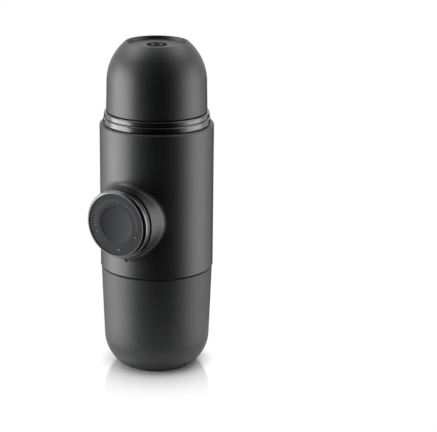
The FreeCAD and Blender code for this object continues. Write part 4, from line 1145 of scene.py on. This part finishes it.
@dataclass(frozen=True)
class Studio:
    """Camera, soft boxes, black cards, world and floor.

    Turns are degrees from the camera's side of the object, counted to the camera's right, and lengths are
    metres. The camera's pitch is in radians, its sensor in millimetres, and its frame in pixels.
    """

    azimuth: float = 32.0
    distance: float = 0.898873
    height: float = 0.3495806
    pitch: float = 0.29062
    frame_width: int = 437
    axis_column: float = 156.85
    focal_pixels: float = 1762.6
    sensor: float = 36.0
    clip: Point = (0.05, 20.0)
    fill: float = 0.12
    floor_radius: float = 0.07
    floor: AcrylicSheet = AcrylicSheet("white_acrylic_floor", "#f4f4f4")
    card: FlockedCard = FlockedCard("black_flocked_card", "#050505")
    card_steps: int = 24
    boxes: tuple[SoftBox, ...] = (
        SoftBox("soft_box_left", -86, 0.75, 0.03, (0.73, 0.74), radiance=5.6, aim=0.03),
        SoftBox("soft_box_right", 87.5, 0.75, 0.03, (0.56, 0.74), radiance=3.0, aim=0.03),
        SoftBox("soft_box_top_left", -110, 0.42, 0.72, (0.5, 0.4), radiance=3.5, aim=0.15),
        SoftBox("soft_box_top_right", 114, 0.42, 0.74, (0.45, 0.35), radiance=2.8, aim=0.15))
    cards: tuple[Card, ...] = (
        Card("card_front", ((0.064, 0.0004), (0.07, 0.0004), (0.5, -0.2), (0.6, 0.1), (0.6, 0.5), (0.45, 0.8),
                            (0.25, 0.95)), -55, 52),
        Card("card_back", ((0.5, -0.45), (0.5, 0.1)), 138, 218))

    def build(self) -> None:
        """Build the whole studio."""
        bpy.context.scene.view_settings.view_transform = "Standard"
        self.add_camera()
        self.add_world()
        self.add_floor()
        for box in self.boxes:
            self.add_soft_box(box)
        for card in self.cards:
            self.add_card(card)
        log.info("studio: camera, soft boxes, cards, world and floor")

    def place(self, turned: float, distance: float, height: float) -> Vector:
        """Find a point of the studio round the object.

        Args:
            turned: degrees from the camera's side.
            distance: from the object's axis.
            height: above the floor.

        Returns:
            The point.
        """
        angle = math.radians(self.azimuth + turned)
        return Vector((distance * math.sin(angle), -distance * math.cos(angle), height))

    def add_camera(self) -> None:
        """Set up the camera, turned aside so that the object stands left of the middle."""
        camera = bpy.data.cameras.new("camera")
        camera.sensor_fit = "HORIZONTAL"
        camera.sensor_width = self.sensor
        camera.lens = self.focal_pixels / self.frame_width * self.sensor
        camera.clip_start, camera.clip_end = self.clip
        holder = bpy.data.objects.new("camera", camera)
        bpy.context.scene.collection.objects.link(holder)
        aside = math.atan((self.frame_width / 2 - self.axis_column) / self.focal_pixels)
        turned = Matrix.Rotation(math.radians(self.azimuth), 4, "Z")
        tilted = Matrix.Rotation(math.pi / 2 - self.pitch, 4, "X")
        yawed = Matrix.Rotation(-aside, 4, "Y")
        spot = Matrix.Translation(self.place(0, self.distance, self.height))
        holder.matrix_world = spot @ turned @ tilted @ yawed
        bpy.context.scene.camera = holder

    def add_soft_box(self, box: SoftBox) -> None:
        """Add a soft box, which the camera doesn't see.

        Args:
            box: the soft box.
        """
        lamp = bpy.data.lights.new(box.name, "AREA")
        lamp.shape = "RECTANGLE"
        lamp.size, lamp.size_y = box.size
        lamp.energy = box.radiance * math.pi * lamp.size * lamp.size_y
        holder = bpy.data.objects.new(box.name, lamp)
        holder.visible_camera = False
        bpy.context.scene.collection.objects.link(holder)
        spot = self.place(box.turned, box.distance, box.height)
        look = (Vector((0, 0, box.aim)) - spot).to_track_quat("-Z", "Y")
        holder.matrix_world = Matrix.Translation(spot) @ look.to_matrix().to_4x4()

    def add_card(self, card: Card) -> None:
        """Add a card that keeps light off the side that faces it.

        Args:
            card: the card.
        """
        mesh = bmesh.new()
        direction = self.place(card.start, 1.0, 0.0)
        section = draw_line(mesh, [direction * away + Vector((0, 0, height))
                                   for away, height in card.profile], closed=False)
        bmesh.ops.spin(mesh, geom=section, cent=(0, 0, 0), axis=(0, 0, 1), dvec=(0, 0, 0),
                       angle=math.radians(card.end - card.start), steps=self.card_steps)
        bent = make_object(mesh, card.name)
        bent.data.materials.append(self.card.make())
        bent.visible_camera = False

    def add_world(self) -> None:
        """Light the room with a plain grey, and show white behind the object."""
        world = bpy.data.worlds.new("studio")
        bpy.context.scene.world = world
        world.use_nodes = True
        tree = world.node_tree
        tree.nodes.clear()
        output = add_node(tree, "ShaderNodeOutputWorld")
        seen = add_node(tree, "ShaderNodeBackground", {"Color": linear(WHITE), "Strength": 1.0})
        cast = add_node(tree, "ShaderNodeBackground", {"Color": linear(WHITE), "Strength": self.fill})
        mix = add_node(tree, "ShaderNodeMixShader", None, {
            0: white_seen(tree), 1: cast.outputs[0], 2: seen.outputs[0]})
        tree.links.new(mix.outputs[0], output.inputs["Surface"])

    def add_floor(self) -> None:
        """Lay a round floor that keeps the object's shadow near its base."""
        mesh = bmesh.new()
        bmesh.ops.create_circle(mesh, cap_ends=True, segments=ROUND_STEPS, radius=self.floor_radius)
        laid = make_object(mesh, "floor")
        laid.data.materials.append(self.floor.make())


def main() -> None:
    """Build the classes in order."""
    logging.basicConfig(level=logging.INFO, format="%(name)s: %(message)s")
    for assembly in (WaterTank(), MainBody(), Pump(), Knob(), OutletHead(), Cup(), Studio()):
        assembly.build()
        log.info("%s built", type(assembly).__name__)


if __name__ == "__main__":
    main()
